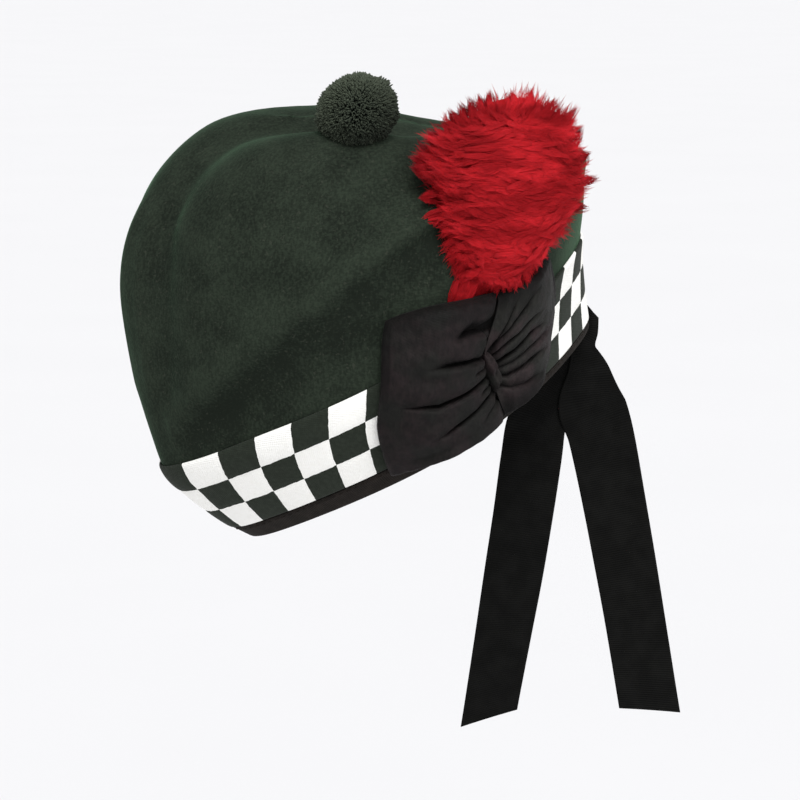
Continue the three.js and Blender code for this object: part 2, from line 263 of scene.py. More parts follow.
SECTIONS = (
    Section(-101.0, 0.0, 101.0, 0.0, 76, 0.45, 0.50),
    Section(-109.5, 14.0, 107.0, 17.5, 81.5, 0.47, 0.48),
    Section(-118.0, 34.0, 115.5, 37.5, 86.5, 0.48, 0.40),
    Section(-122.5, 53.0, 126.0, 55.0, 90, 0.48, 0.28),
    Section(-114.0, 95.5, 133.5, 70.0, 91, 0.46, 0.12),
    Section(-97.0, 141.0, 138.5, 77.5, 85, 0.42, 0.04),
    Section(-70.0, 173.0, 137.5, 83.0, 74, 0.34, 0.00),
    Section(-28.0, 190.0, 126.0, 95.0, 54, 0.20, 0.00),
    Section(16.0, 186.0, 109.0, 109.0, 0, 0.00, 0.00),
)
CREASES = (
    Crease(-9, 18, 0),
    Crease(-12, 23, 3),
    Crease(-15, 29, 8),
    Crease(-13, 36, 14),
    Crease(-9, 41, 22),
    Crease(-13, 39, 21),
    Crease(-22, 36, 15),
    Crease(-13, 29, 8),
    Crease(-2, 25, 7),
    Crease(0, 21, 3),
    Crease(0, 18, 0),
)
FOLDS = (
    Fold(-95, 62, 40, 92, -4.0, 13),
    Fold(-100, 86, 30, 115, 3.5, 12),
)
# Each dent's last number is painted tone: painted highlight along the raised ridges, painted shade along the
# sunk valleys
DENTS = (
    Dent(((20, 0.440), (39, 0.484), (52, 0.518), (70, 0.565), (86, 0.622), (98, 0.655)), 1.9, 5.5, 0.24),
    Dent(((22, 0.405), (39, 0.442), (52, 0.475), (70, 0.524), (86, 0.580), (98, 0.610)), -1.8, 5.5, -0.26),
    Dent(((30, 0.405), (39, 0.418), (52, 0.446), (70, 0.488), (86, 0.545), (98, 0.575)), -0.6, 10.0, -0.30),
    Dent(((18, 0.735), (24, 0.650), (25, 0.560), (21, 0.480)), -1.6, 7.0, -0.24),
    Dent(((6, 0.720), (9, 0.600), (9, 0.500)), 0.8, 5.0, 0.10),
)

# The upper edges of the binding and of the band, as shares of the wall's height
BINDING_TOP = 0.085
BAND_TOP = 0.375


@dataclass(frozen=True)
class CrownForm:
    """The felt's outer face as a formula of angle and height."""

    rim_arch: float = 5.5
    arch_reach: float = 0.6
    crease_x: float = 23.0
    crease_z: float = 60.0
    crease_from: float = -10.0
    crease_span: float = 200.0
    crease_rounding: float = 0.12
    crease_sharpness: float = 1.4
    fold_fade: float = 0.125
    flank_from: float = 20.0
    flank_to: float = 45.0
    seam_from: float = 0.999
    slope_step: float = 0.004
    arc_stops: int = 1441

    def ring(self, angle: Array, height: Array) -> Array:
        """Gives the bare rings, before the crease and folds.

        Args:
            angle: angles round the cap.
            height: shares of the wall's height.

        Returns:
            Points in the cap's own frame.
        """
        x_front, z_front, x_back, z_back, half_width, nose, stern = table_curve(SECTIONS, height)
        ahead, side = np.cos(angle), np.sin(angle)
        arch = self.rim_arch * side**2 * np.clip(1.0 - height / self.arch_reach, 0.0, None)
        x = (x_front + x_back) / 2 - (x_back - x_front) / 2 * ahead
        taper = 1.0 - np.where(ahead > 0.0, nose, stern) * ahead**2
        y = -half_width * side * taper
        z = (z_front + z_back) / 2 + (z_front - z_back) / 2 * ahead + arch
        return np.stack([x, y, z], -1)

    def crease_outward(self, points: Array) -> Array:
        """Gives the way out from the line that the crease turns about."""
        away = points - np.array([self.crease_x, 0.0, self.crease_z])
        return unit(away * np.array([1.0, 0.0, 1.0]))

    def press_crease(self, points: Array) -> Array:
        """Presses the crease into the top.

        Args:
            points: places on the bare rings.

        Returns:
            The places with the crease.
        """
        outward = self.crease_outward(points)
        angle = np.degrees(np.arctan2(outward[..., 2], -outward[..., 0]))
        offset, half_width, depth = table_curve(CREASES, (angle - self.crease_from) / self.crease_span)
        off = np.hypot((points[..., 1] - offset) / half_width, self.crease_rounding)
        share = np.clip(1.0 - off, 0.0, None) ** self.crease_sharpness
        return points - outward * (np.clip(depth, 0.0, None) * share)[..., None]

    def raise_folds(self, points: Array) -> Array:
        """Raises the soft folds on both flanks.

        Args:
            points: places on the creased rings.

        Returns:
            The places with the folds.
        """
        x, y, z = np.moveaxis(points, -1, 0)
        rise = np.zeros_like(x)
        for fold in FOLDS:
            run_x, run_z = fold.x_end - fold.x_start, fold.z_end - fold.z_start
            length = math.hypot(run_x, run_z)
            along = ((x - fold.x_start) * run_x + (z - fold.z_start) * run_z) / length**2
            off = ((x - fold.x_start) * run_z - (z - fold.z_start) * run_x) / length
            fade = smooth(along, -self.fold_fade, self.fold_fade)
            fade = fade * smooth(1.0 - along, -self.fold_fade, self.fold_fade)
            rise += fold.height * fade * np.exp(-((off / fold.spread) ** 2))
        flank = smooth(np.abs(y), self.flank_from, self.flank_to)
        return np.stack([x, y + np.sign(y) * flank * rise, z], -1)

    def point(self, angle: Array, height: Array) -> Array:
        """Gives points on the felt's outer face."""
        angle, height = np.broadcast_arrays(angle, height)
        return self.raise_folds(self.press_crease(self.ring(angle, height)))

    def rise(self, angle: Array, height: Array) -> Array:
        """Gives the way up the wall.

        Args:
            angle: angles round the cap.
            height: shares of the wall's height.

        Returns:
            Vectors of length 1.
        """
        low = np.clip(height - self.slope_step, 0.0, None)
        high = np.clip(height + self.slope_step, None, self.seam_from)
        return unit(self.point(angle, high) - self.point(angle, low))

    def normal(self, angle: Array, height: Array) -> Array:
        """Gives the outward normals of the felt.

        Args:
            angle: angles round the cap.
            height: shares of the wall's height.

        Returns:
            Vectors of length 1.
        """
        angle, height = np.broadcast_arrays(angle, height)
        step = self.slope_step
        run = self.point(angle + step, height) - self.point(angle - step, height)
        wall = unit(np.cross(run, self.rise(angle, height)))
        seam = self.crease_outward(self.point(angle, height))
        return np.where((height > self.seam_from)[..., None], seam, wall)

    def off(self, angle: Array, height: Array, distance: Any) -> Array:
        """Gives points at a distance off the felt, outwards when it is positive."""
        reach = np.asarray(distance, dtype=float)[..., None]
        return self.point(angle, height) + self.normal(angle, height) * reach

    def angle_at_arc(self, share: Array, height: float) -> Array:
        """Finds angles by the share of the way round.

        Args:
            share: shares of the ring's length from the front, over the left side.
            height: the ring's height on the wall.

        Returns:
            The angle of each share.
        """
        angles = np.linspace(0.0, TURN, self.arc_stops)
        arc = arc_length(self.point(angles, np.full_like(angles, height)))
        whole = np.floor(share)
        return np.interp(share - whole, arc / arc[-1], angles) + whole * TURN


FORM = CrownForm()


@dataclass
class Seat:
    """The outer face of the felt as a cloud of points, for keeping strands out of it."""

    columns: int = 240
    rows: int = 160
    tree: kdtree.KDTree = field(init=False)
    normals: Array = field(init=False)

    def __post_init__(self) -> None:
        """Fills the tree."""
        angle, height = np.meshgrid(np.linspace(0, TURN, self.columns), np.linspace(0, 1, self.rows))
        points = FORM.point(angle, height).reshape(-1, 3)
        self.normals = FORM.normal(angle, height).reshape(-1, 3)
        self.tree = kdtree.KDTree(len(points))
        for number, point in enumerate(points):
            self.tree.insert(point, number)
        self.tree.balance()

    def clearance(self, points: Array) -> tuple[Array, Array]:
        """Measures points against the felt.

        Args:
            points: places in the level cap.

        Returns:
            Each point's height over the felt, and the felt's normal there.
        """
        found = [self.tree.find(point) for point in points]
        normals = self.normals[[number for _, number, _ in found]]
        nearest = np.array([place for place, _, _ in found])
        return ((points - nearest) * normals).sum(-1), normals


# Meshes


@dataclass
class Shell:
    """A closed wall between an outer and an inner grid of points, columns by rows.

    Attributes:
        outer: the outer face's points.
        inner: the inner face's points.
        uv: each point's place on the cloth, with one more column where the grid is a ring.
        ring: whether the last column joins the first.
    """

    outer: Array
    inner: Array
    uv: Array
    ring: bool = False

    def corners(self) -> tuple[Array, Array, Array]:
        """Lists every face's corners.

        Returns:
            The layer, column and row of each corner, four to a face.
        """
        columns, rows = self.outer.shape[:2]
        steps = columns if self.ring else columns - 1
        parts: list[tuple[Array, Array, Array]] = []

        def add(layers: Sequence[int], i: Array, di: Sequence[int], j: Array, dj: Sequence[int]) -> None:
            """Adds one quad for each column and row."""
            i, j = (part.reshape(-1, 1) for part in np.broadcast_arrays(i, j))
            parts.append((np.tile(layers, (len(i), 1)), i + np.array(di), j + np.array(dj)))

        i, j = np.arange(steps)[:, None], np.arange(rows - 1)[None, :]
        add((0, 0, 0, 0), i, (0, 1, 1, 0), j, (0, 0, 1, 1))
        add((1, 1, 1, 1), i, (0, 0, 1, 1), j, (0, 1, 1, 0))
        add((1, 1, 0, 0), i, (0, 1, 1, 0), np.array(0), (0, 0, 0, 0))
        add((0, 0, 1, 1), i, (0, 1, 1, 0), np.array(rows - 1), (0, 0, 0, 0))
        if not self.ring:
            add((1, 0, 0, 1), np.array(0), (0, 0, 0, 0), j, (0, 0, 1, 1))
            add((0, 1, 1, 0), np.array(columns - 1), (0, 0, 0, 0), j, (0, 0, 1, 1))
        layers, i, j = (np.concatenate(part) for part in zip(*parts))
        return layers, i, j

    def build(self, name: str) -> bpy.types.Object:
        """Makes the shell's object, closed and facing out.

        Args:
            name: the piece's name.

        Returns:
            The object, at the origin.
        """
        columns, rows = self.outer.shape[:2]
        layers, i, j = self.corners()
        faces = (layers * columns + i % columns) * rows + j
        points = np.concatenate([self.outer.reshape(-1, 3), self.inner.reshape(-1, 3)])
        return mesh_object(name, points, faces, self.uv[i, j].reshape(-1, 2))


def mesh_object(name: str, points: Array, faces: Array, uv: Array | None = None) -> bpy.types.Object:
    """Makes a smooth mesh object, with doubled points merged and its faces pointing out.

    Args:
        name: the object's name.
        points: places in metres.
        faces: corner numbers, one row for each face.
        uv: a place on the cloth for each corner of each face.

    Returns:
        The object, linked to the scene.
    """
    mesh = bpy.data.meshes.new(name)
    mesh.from_pydata(points.tolist(), [], faces.tolist())
    if uv is not None:
        mesh.uv_layers.new(name="cloth").data.foreach_set("uv", uv.astype(np.float32).ravel())
    work = bmesh.new()
    work.from_mesh(mesh)
    bmesh.ops.remove_doubles(work, verts=work.verts, dist=WELD)
    if work.calc_volume(signed=True) < 0:
        bmesh.ops.reverse_faces(work, faces=work.faces)
    for face in work.faces:
        face.smooth = True
    work.to_mesh(mesh)
    work.free()
    made = bpy.data.objects.new(name, mesh)
    bpy.context.scene.collection.objects.link(made)
    return made


def dress(piece: bpy.types.Object, slot: Slot, material: bpy.types.Material, *nodes: str) -> bpy.types.Object:
    """Gives a piece its material and body, and hides the solids that it stands for.

    Args:
        piece: the finished piece.
        slot: not used.
        material: its material.
        nodes: the solids that it stands for.

    Returns:
        The same piece.
    """
    mesh = piece.data
    mesh.materials.clear()
    mesh.materials.append(material)
    mesh.polygons.foreach_set("material_index", np.zeros(len(mesh.polygons), dtype=np.int32))
    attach(piece, BODY)
    if nodes:
        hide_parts(*nodes)
    LOG.info("%s: %d faces", piece.name, len(mesh.polygons))
    return piece


# Node trees


def pick(sockets: Any, name: str | int) -> bpy.types.NodeSocket:
    """Finds a socket that is in use.

    Args:
        sockets: a node's inputs or outputs.
        name: the socket's name or number.

    Returns:
        The socket.
    """
    if isinstance(name, int):
        return sockets[name]
    return next(socket for socket in sockets if socket.name == name and socket.enabled)


class Graph:
    """Adds nodes to one tree, for shaders and for geometry alike."""

    def __init__(self, tree: bpy.types.NodeTree) -> None:
        """Takes the tree to add to."""
        self.tree = tree

    def feed(self, socket: bpy.types.NodeSocket, value: Any) -> None:
        """Links a wire to a socket, or sets a plain value on it.

        Args:
            socket: the socket to feed.
            value: a wire, a shader's number or a plain value.
        """
        wire = value.wire if isinstance(value, Value) else value
        if isinstance(wire, bpy.types.NodeSocket):
            self.tree.links.new(wire, socket)
        else:
            socket.default_value = wire

    def node(
        self, kind: str, settings: dict[str, Any] | None = None, inputs: dict[str | int, Any] | None = None
    ) -> bpy.types.Node:
        """Adds a node.

        Args:
            kind: the node's type.
            settings: its own settings, set first.
            inputs: values or wires for its sockets.

        Returns:
            The node.
        """
        made = self.tree.nodes.new(kind)
        for key, value in (settings or {}).items():
            setattr(made, key, value)
        for key, value in (inputs or {}).items():
            self.feed(pick(made.inputs, key), value)
        return made

    def wire(
        self,
        kind: str,
        settings: dict[str, Any] | None = None,
        inputs: dict[str | int, Any] | None = None,
        output: str | int = 0,
    ) -> bpy.types.NodeSocket:
        """Adds a node and gives one of its outputs.

        Args:
            kind: the node's type.
            settings: its own settings, set first.
            inputs: values or wires for its sockets.
            output: the output's name or number.

        Returns:
            The output socket.
        """
        return pick(self.node(kind, settings, inputs).outputs, output)


class Value:
    """A number in a shader: arithmetic on it adds Math nodes."""

    def __init__(self, graph: Graph, wire: bpy.types.NodeSocket) -> None:
        """Wraps an output socket."""
        self.graph = graph
        self.wire = wire

    def math(self, operation: str, *terms: Any) -> Value:
        """Adds a Math node on the given terms."""
        inputs = dict(enumerate(terms))
        return Value(self.graph, self.graph.wire("ShaderNodeMath", {"operation": operation}, inputs))

    def __add__(self, other: Any) -> Value:
        """Adds."""
        return self.math("ADD", self, other)

    __radd__ = __add__

    def __sub__(self, other: Any) -> Value:
        """Subtracts."""
        return self.math("SUBTRACT", self, other)

    def __rsub__(self, other: Any) -> Value:
        """Subtracts from a number."""
        return self.math("SUBTRACT", other, self)

    def __mul__(self, other: Any) -> Value:
        """Multiplies."""
        return self.math("MULTIPLY", self, other)

    __rmul__ = __mul__

    def __truediv__(self, other: Any) -> Value:
        """Divides."""
        return self.math("DIVIDE", self, other)

    def __pow__(self, other: Any) -> Value:
        """Raises to a power."""
        return self.math("POWER", self, other)

    def floor(self) -> Value:
        """Drops the fraction."""
        return self.math("FLOOR", self)

    def fraction(self) -> Value:
        """Keeps the fraction."""
        return self.math("FRACT", self)

    def within(self, low: float, high: float) -> Value:
        """Keeps the number from leaving the given bounds."""
        return self.math("MINIMUM", self.math("MAXIMUM", self, low), high)

    def wave(self) -> Value:
        """Swings from 0 to 1 and back with every whole number."""
        return self.math("SINE", self * TURN) * 0.5 + 0.5

    def between(self, low: float, high: float) -> Value:
        """Rises softly from 0 at low to 1 at high.

        Args:
            low: where it starts.
            high: where it ends.

        Returns:
            The share from 0 to 1.
        """
        settings = {"interpolation_type": "SMOOTHSTEP", "clamp": True}
        inputs = {"Value": self, "From Min": low, "From Max": high}
        return Value(self.graph, self.graph.wire("ShaderNodeMapRange", settings, inputs))


class Shader(Graph):
    """A material with one Principled shader."""

    def __init__(self, name: str, constants: dict[str, Any]) -> None:
        """Makes the material.

        Args:
            name: the material's name.
            constants: what is the same all over the surface, set on the shader's own sockets.
        """
        self.material = bpy.data.materials.new(name)
        self.material.use_nodes = True
        super().__init__(self.material.node_tree)
        self.surface = next(node for node in self.tree.nodes if node.type == "BSDF_PRINCIPLED")
        for key, value in constants.items():
            self.feed(pick(self.surface.inputs, key), value)

    def noise(self, size: float, detail: float = 2.0, stretch: Triple = (1.0, 1.0, 1.0)) -> Value:
        """Gives noise over space.

        Args:
            size: the usual size of a fleck in millimetres.
            detail: how much finer noise is added.
            stretch: how close together the flecks lie along each axis.

        Returns:
            A value round 0.5.
        """
        place = self.wire("ShaderNodeTexCoord", output="Object")
        turned = self.wire("ShaderNodeMapping", None, {"Vector": place, "Scale": stretch})
        inputs = {"Vector": turned, "Scale": 1.0 / (size * MM), "Detail": detail}
        return Value(self, self.wire("ShaderNodeTexNoise", None, inputs, "Fac"))

    def cloth(self) -> tuple[Value, Value]:
        """Gives the two numbers of a place on the cloth.

        Returns:
            The numbers stored along and across it.
        """
        place = self.wire("ShaderNodeUVMap", {"uv_map": "cloth"})
        split = self.node("ShaderNodeSeparateXYZ", None, {0: place})
        return Value(self, split.outputs[0]), Value(self, split.outputs[1])

    def stored(self, name: str) -> Value:
        """Reads a number stored on the mesh."""
        return Value(self, self.wire("ShaderNodeAttribute", {"attribute_name": name}, None, "Fac"))

    def blend(self, share: Any, first: Any, second: Any) -> bpy.types.NodeSocket:
        """Mixes two colours.

        Args:
            share: the second colour's share.
            first: a colour or its wire.
            second: a colour or its wire.

        Returns:
            The mixed colour's wire.
        """
        first, second = ((*c, 1.0) if isinstance(c, tuple) else c for c in (first, second))
        inputs = {"Factor": share, "A": first, "B": second}
        return self.wire("ShaderNodeMix", {"data_type": "RGBA"}, inputs, "Result")

    def soften(self, name: str, share: float) -> None:
        """Turns the shading towards a stored direction, so that thin strands shade as one soft body.

        Args:
            name: the stored direction.
            share: how far the shading follows it.
        """
        wide = self.wire("ShaderNodeAttribute", {"attribute_name": name}, None, "Vector")
        own = self.wire("ShaderNodeNewGeometry", None, None, "Normal")
        inputs = {"Factor": share, "A": own, "B": wide}
        between = self.wire("ShaderNodeMix", {"data_type": "VECTOR"}, inputs, "Result")
        even = self.wire("ShaderNodeVectorMath", {"operation": "NORMALIZE"}, {0: between})
        self.feed(self.surface.inputs["Normal"], even)

    def finish(
        self, colour: Any, height: Value | None = None, depth: float = 0.1, rough: Value | None = None
    ) -> bpy.types.Material:
        """Feeds what changes over the surface.

        Args:
            colour: the base colour's wire.
            height: relief from 0 to 1, if any.
            depth: the relief's depth in millimetres.
            rough: the roughness's wire, where it changes.

        Returns:
            The finished material.
        """
        self.feed(self.surface.inputs["Base Color"], colour)
        if rough is not None:
            self.feed(self.surface.inputs["Roughness"], rough)
        if height is not None:
            inputs = {"Strength": 1.0, "Distance": depth * MM, "Height": height}
            relief = self.wire("ShaderNodeBump", None, inputs)
            self.feed(self.surface.inputs["Normal"], relief)
        return self.material


# Finishes


@dataclass(frozen=True)
class Felt:
    """Milled wool: matt and heathered, with a short pile, and painted highlight and shade along its dents."""

    dark: Colour = (0.0078, 0.0112, 0.0074)
    light: Colour = (0.0228, 0.0318, 0.0212)
    fleck: Colour = (0.040, 0.045, 0.033)
    fibre: float = 1.1
    grain: Triple = (1.0, 1.0, 0.4)
    crossing: float = 0.8
    crossing_grain: Triple = (0.4, 1.0, 1.0)
    heather: Range = (0.40, 0.62)
    cloud: float = 16.0
    clouding: Range = (0.3, 0.7)
    cloud_share: float = 0.4
    fleck_size: float = 1.5
    fleck_range: Range = (0.64, 0.74)
    fleck_share: float = 0.45
    # How deep the felt's relief is, in millimetres
    nap_and_painted_shading: float = 0.35

    def material(self) -> bpy.types.Material:
        """Makes the felt.

        Returns:
            The material.
        """
        shader = Shader(
            "milled_felt",
            {
                "Roughness": 0.95,
                "Specular IOR Level": 0.15,
                "Sheen Weight": 0.2,
                "Sheen Roughness": 0.35,
                "Sheen Tint": (0.35, 0.75, 0.42, 1.0),
            },
        )
        lying = shader.noise(self.fibre, detail=4.0, stretch=self.grain)
        crossing = shader.noise(self.fibre * self.crossing, detail=4.0, stretch=self.crossing_grain)
        fibres = lying * 0.5 + crossing * 0.5
        heather = fibres.between(*self.heather) * (1.0 - self.cloud_share)
        clouds = shader.noise(self.cloud).between(*self.clouding) * self.cloud_share
        # The cloth's first number is the dents' painted highlight and shade, added to the heather and clouds
        nap_and_painted_shading, _ = shader.cloth()
        colour = shader.blend(heather + clouds + nap_and_painted_shading, self.dark, self.light)
        flecks = shader.noise(self.fibre * self.fleck_size, detail=1.0).between(*self.fleck_range)
        colour = shader.blend(flecks * self.fleck_share, colour, self.fleck)
        return shader.finish(colour, fibres, self.nap_and_painted_shading)


@dataclass(frozen=True)
class Dicing:
    """Woven checks, one to each whole number on the cloth."""

    white: Colour = (1.0, 0.995, 0.965)
    shade: Colour = (0.95, 0.945, 0.90)
    dark: Colour = (0.0125, 0.0170, 0.0110)
    light: Colour = (0.0230, 0.0300, 0.0210)
    rows: int = CHECKS_HIGH
    margin: float = 0.001
    waver: float = 0.05
    waver_up: float = 1.4
    waver_size: float = 3.5
    threads: float = 19.0
    weft_share: float = 0.6
    wear_size: float = 2.2
    wear_range: Range = (0.35, 0.7)
    wear_share: float = 0.5
    weave_share: float = 0.35
    fuzz_size: float = 0.8
    fuzz_share: float = 0.6
    relief: float = 0.16

    def material(self) -> bpy.types.Material:
        """Makes the checks.

        Returns:
            The material.
        """
        shader = Shader("woven_dicing", {"Roughness": 0.9, "Specular IOR Level": 0.2, "Sheen Weight": 0.05})
        along, up = shader.cloth()
        waver = (shader.noise(self.waver_size, detail=3.0) - 0.5) * self.waver
        row = (up + waver * self.waver_up).within(0.0, self.rows - self.margin)
        check = (along + waver).floor() + row.floor()
        white = (check * 0.5).fraction() * 2.0
        weft = (up * self.threads + along * self.threads * 0.5).wave()
        warp = (along * self.threads).wave()
        weave = weft * self.weft_share + warp * (1.0 - self.weft_share)
        worn = shader.noise(self.wear_size, detail=3.0).between(*self.wear_range)
        wear = worn * self.wear_share + weave * self.weave_share
        pale = shader.blend(wear, self.white, self.shade)
        deep = shader.blend(wear, self.dark, self.light)
        height = weave + shader.noise(self.fuzz_size) * self.fuzz_share
        return shader.finish(shader.blend(white, deep, pale), height, self.relief)


@dataclass(frozen=True)
class Tape:
    """Ribbed black binding tape, with its length along the cloth in millimetres."""

    dark: Colour = (0.0085, 0.0068, 0.0055)
    light: Colour = (0.022, 0.0175, 0.0145)
    rib: float = 1.0
    wear_size: float = 5.0
    wear_range: Range = (0.35, 0.75)
    relief: float = 0.22

    def material(self) -> bpy.types.Material:
        """Makes the tape.

        Returns:
            The material.
        """
        shader = Shader("binding_tape", {"Roughness": 0.75, "Specular IOR Level": 0.12})
        along, _ = shader.cloth()
        ribs = (along / self.rib).wave()
        worn = shader.noise(self.wear_size, detail=3.0).between(*self.wear_range)
        return shader.finish(shader.blend(ribs * 0.5 + worn * 0.5, self.dark, self.light), ribs, self.relief)


@dataclass(frozen=True)
class Yarn:
    """Clipped wool yarn, with painted shade at its root."""

    # Colour of the painted shade at the strands' roots
    root: Colour = (0.006, 0.008, 0.006)
    dark: Colour = (0.0075, 0.0086, 0.0064)
    light: Colour = (0.085, 0.102, 0.070)
    painted_root_shade_range: Range = (0.35, 0.95)
    twist: float = 5.0
    fuzz_size: float = 0.6
    fuzz_share: float = 0.3
    relief: float = 0.2

    def material(self) -> bpy.types.Material:
        """Makes the yarn.

        Returns:
            The material.
        """
        shader = Shader(
            "toorie_yarn",
            {
                "Roughness": 0.95,
                "Specular IOR Level": 0.15,
                "Sheen Weight": 0.2,
                "Sheen Tint": (0.6, 0.75, 0.6, 1.0),
            },
        )
        turn, along = shader.cloth()
        fuzz = shader.noise(self.fuzz_size, detail=3.0) * self.fuzz_share
        plain = 1.0 - self.fuzz_share
        # The stored tone holds the pompom's painted light on top and painted shade beneath
        colour = shader.blend(shader.stored("tone") * plain + fuzz, self.dark, self.light)
        # Painted shade at each strand's root, where the strands shade one another
        colour = shader.blend(along.between(*self.painted_root_shade_range), self.root, colour)
        return shader.finish(colour, (turn + along * self.twist).wave() * plain + fuzz, self.relief)


@dataclass(frozen=True)
class Feather:
    """Dyed feather strands, with painted shade towards their roots and painted bands of light and shade."""

    # Colour of the painted shade at the strands' roots
    root: Colour = (0.22, 0.0044, 0.0064)
    dark: Colour = (0.24, 0.0048, 0.0070)
    light: Colour = (0.72, 0.0175, 0.0245)
    painted_root_shade_range: Range = (-0.2, 0.3)
    streak_size: float = 7.5
    streak_grain: Triple = (0.3, 0.5, 1.0)
    streak_range: Range = (0.36, 0.64)
    streak_share: float = 0.55
    softness: float = 0.65

    def material(self) -> bpy.types.Material:
        """Makes the feather.

        Returns:
            The material.
        """
        shader = Shader(
            "dyed_feather",
            {
                "Roughness": 0.8,
                "Specular IOR Level": 0.05,
                "Subsurface Weight": 0.25,
                "Subsurface Radius": (1.0, 0.15, 0.15),
                "Subsurface Scale": 2.0 * MM,
            },
        )
        _, along = shader.cloth()
        # The streaks are painted bands of light and shade; the stored tone holds more of them and painted
        # light on the lower locks
        streak = shader.noise(self.streak_size, stretch=self.streak_grain).between(*self.streak_range)
        tone = shader.stored("tone") * (1.0 - self.streak_share) + streak * self.streak_share
        colour = shader.blend(tone, self.dark, self.light)
        # Painted shade towards each strand's root, where the locks shade one another
        colour = shader.blend(along.between(*self.painted_root_shade_range), self.root, colour)
        shader.soften("face", self.softness)
        return shader.finish(colour)


@dataclass(frozen=True)
class Silk:
    """Soft warm-black silk with fine ribs and a faint cast of colour."""

    warm: Colour = (0.0288, 0.0205, 0.0213)
    cool: Colour = (0.0188, 0.0188, 0.0166)
    deep: Colour = (0.0050, 0.0046, 0.0046)
    # Colour of the painted shade in the gathers, along the edges and over the darker loop parts
    crease: Colour = (0.0014, 0.0013, 0.0013)
    cast_size: float = 16.0
    cast_range: Range = (0.38, 0.62)
    slub_size: float = 1.3
    slub_grain: Triple = (1.0, 1.0, 0.35)
    fine_size: float = 4.2
    deep_range: Range = (0.62, 0.36)
    deep_share: float = 0.55
    painted_shade_range: Range = (0.1, 1.0)
    painted_shade_share: float = 0.9
    rib: float = 0.55
    rib_height: float = 0.3
    slub_height: float = 0.7
    fine_height: float = 2.2
    relief: float = 0.3
    rough: float = 0.5
    rough_slub: float = 0.2

    def material(self) -> bpy.types.Material:
        """Makes the silk.

        Returns:
            The material.
        """
        shader = Shader(
            "cockade_silk",
            {"Roughness": 0.5, "Specular IOR Level": 0.1, "Sheen Weight": 0.02, "Sheen Roughness": 0.35},
        )
        shade, up = shader.cloth()
        ribs = (up / self.rib).wave()
        cast = shader.noise(self.cast_size, detail=3.0).between(*self.cast_range)
        slub = shader.noise(self.slub_size, detail=3.0, stretch=self.slub_grain)
        fine = shader.noise(self.fine_size, detail=4.0)
        colour = shader.blend(cast, self.cool, self.warm)
        deep = (slub * 0.5 + fine * 0.5).between(*self.deep_range)
        colour = shader.blend(deep * self.deep_share, colour, self.deep)
        # The cloth's first number is painted shade: in the gathers, along the folded edge and the top, low on
        # the back loop and over all the front loop
        colour = shader.blend(shade.between(*self.painted_shade_range) * self.painted_shade_share, colour, self.crease)
        height = ribs * self.rib_height + slub * self.slub_height + fine * self.fine_height
        return shader.finish(colour, height, self.relief, slub * self.rough_slub + self.rough)


@dataclass(frozen=True)
class Grosgrain:
    """Black ribbon with ribs across it and a smooth selvedge, on a cloth measured in millimetres."""

    dark: Colour = (0.0030, 0.0030, 0.0028)
    light: Colour = (0.0075, 0.0075, 0.0070)
    rib: float = 1.15
    selvedge: Range = (0.78, 1.3)
    selvedge_height: float = 0.8
    wear_size: float = 9.0
    wear_range: Range = (0.3, 0.75)
    wear_share: float = 0.55
    fuzz_size: float = 0.7
    fuzz_share: float = 0.2
    relief: float = 0.18

    def material(self) -> bpy.types.Material:
        """Makes the ribbon.

        Returns:
            The material.
        """
        shader = Shader("grosgrain", {"Roughness": 0.7, "Specular IOR Level": 0.05})
        edge, along = shader.cloth()
        inside = edge.between(*self.selvedge)
        ribs = (along / self.rib).wave() * inside + (1.0 - inside) * self.selvedge_height
        worn = shader.noise(self.wear_size, detail=3.0).between(*self.wear_range)
        tone = ribs * (1.0 - self.wear_share) + worn * self.wear_share
        height = ribs + shader.noise(self.fuzz_size) * self.fuzz_share
        return shader.finish(shader.blend(tone, self.dark, self.light), height, self.relief)


# Things repeated by geometry nodes

# How wide a lock is at its foot, how it widens before its tip, and how often a core's faces are divided
LOCK_FOOT = 0.4
LOCK_SPREAD = 2.4
CORE_ROUNDS = 4


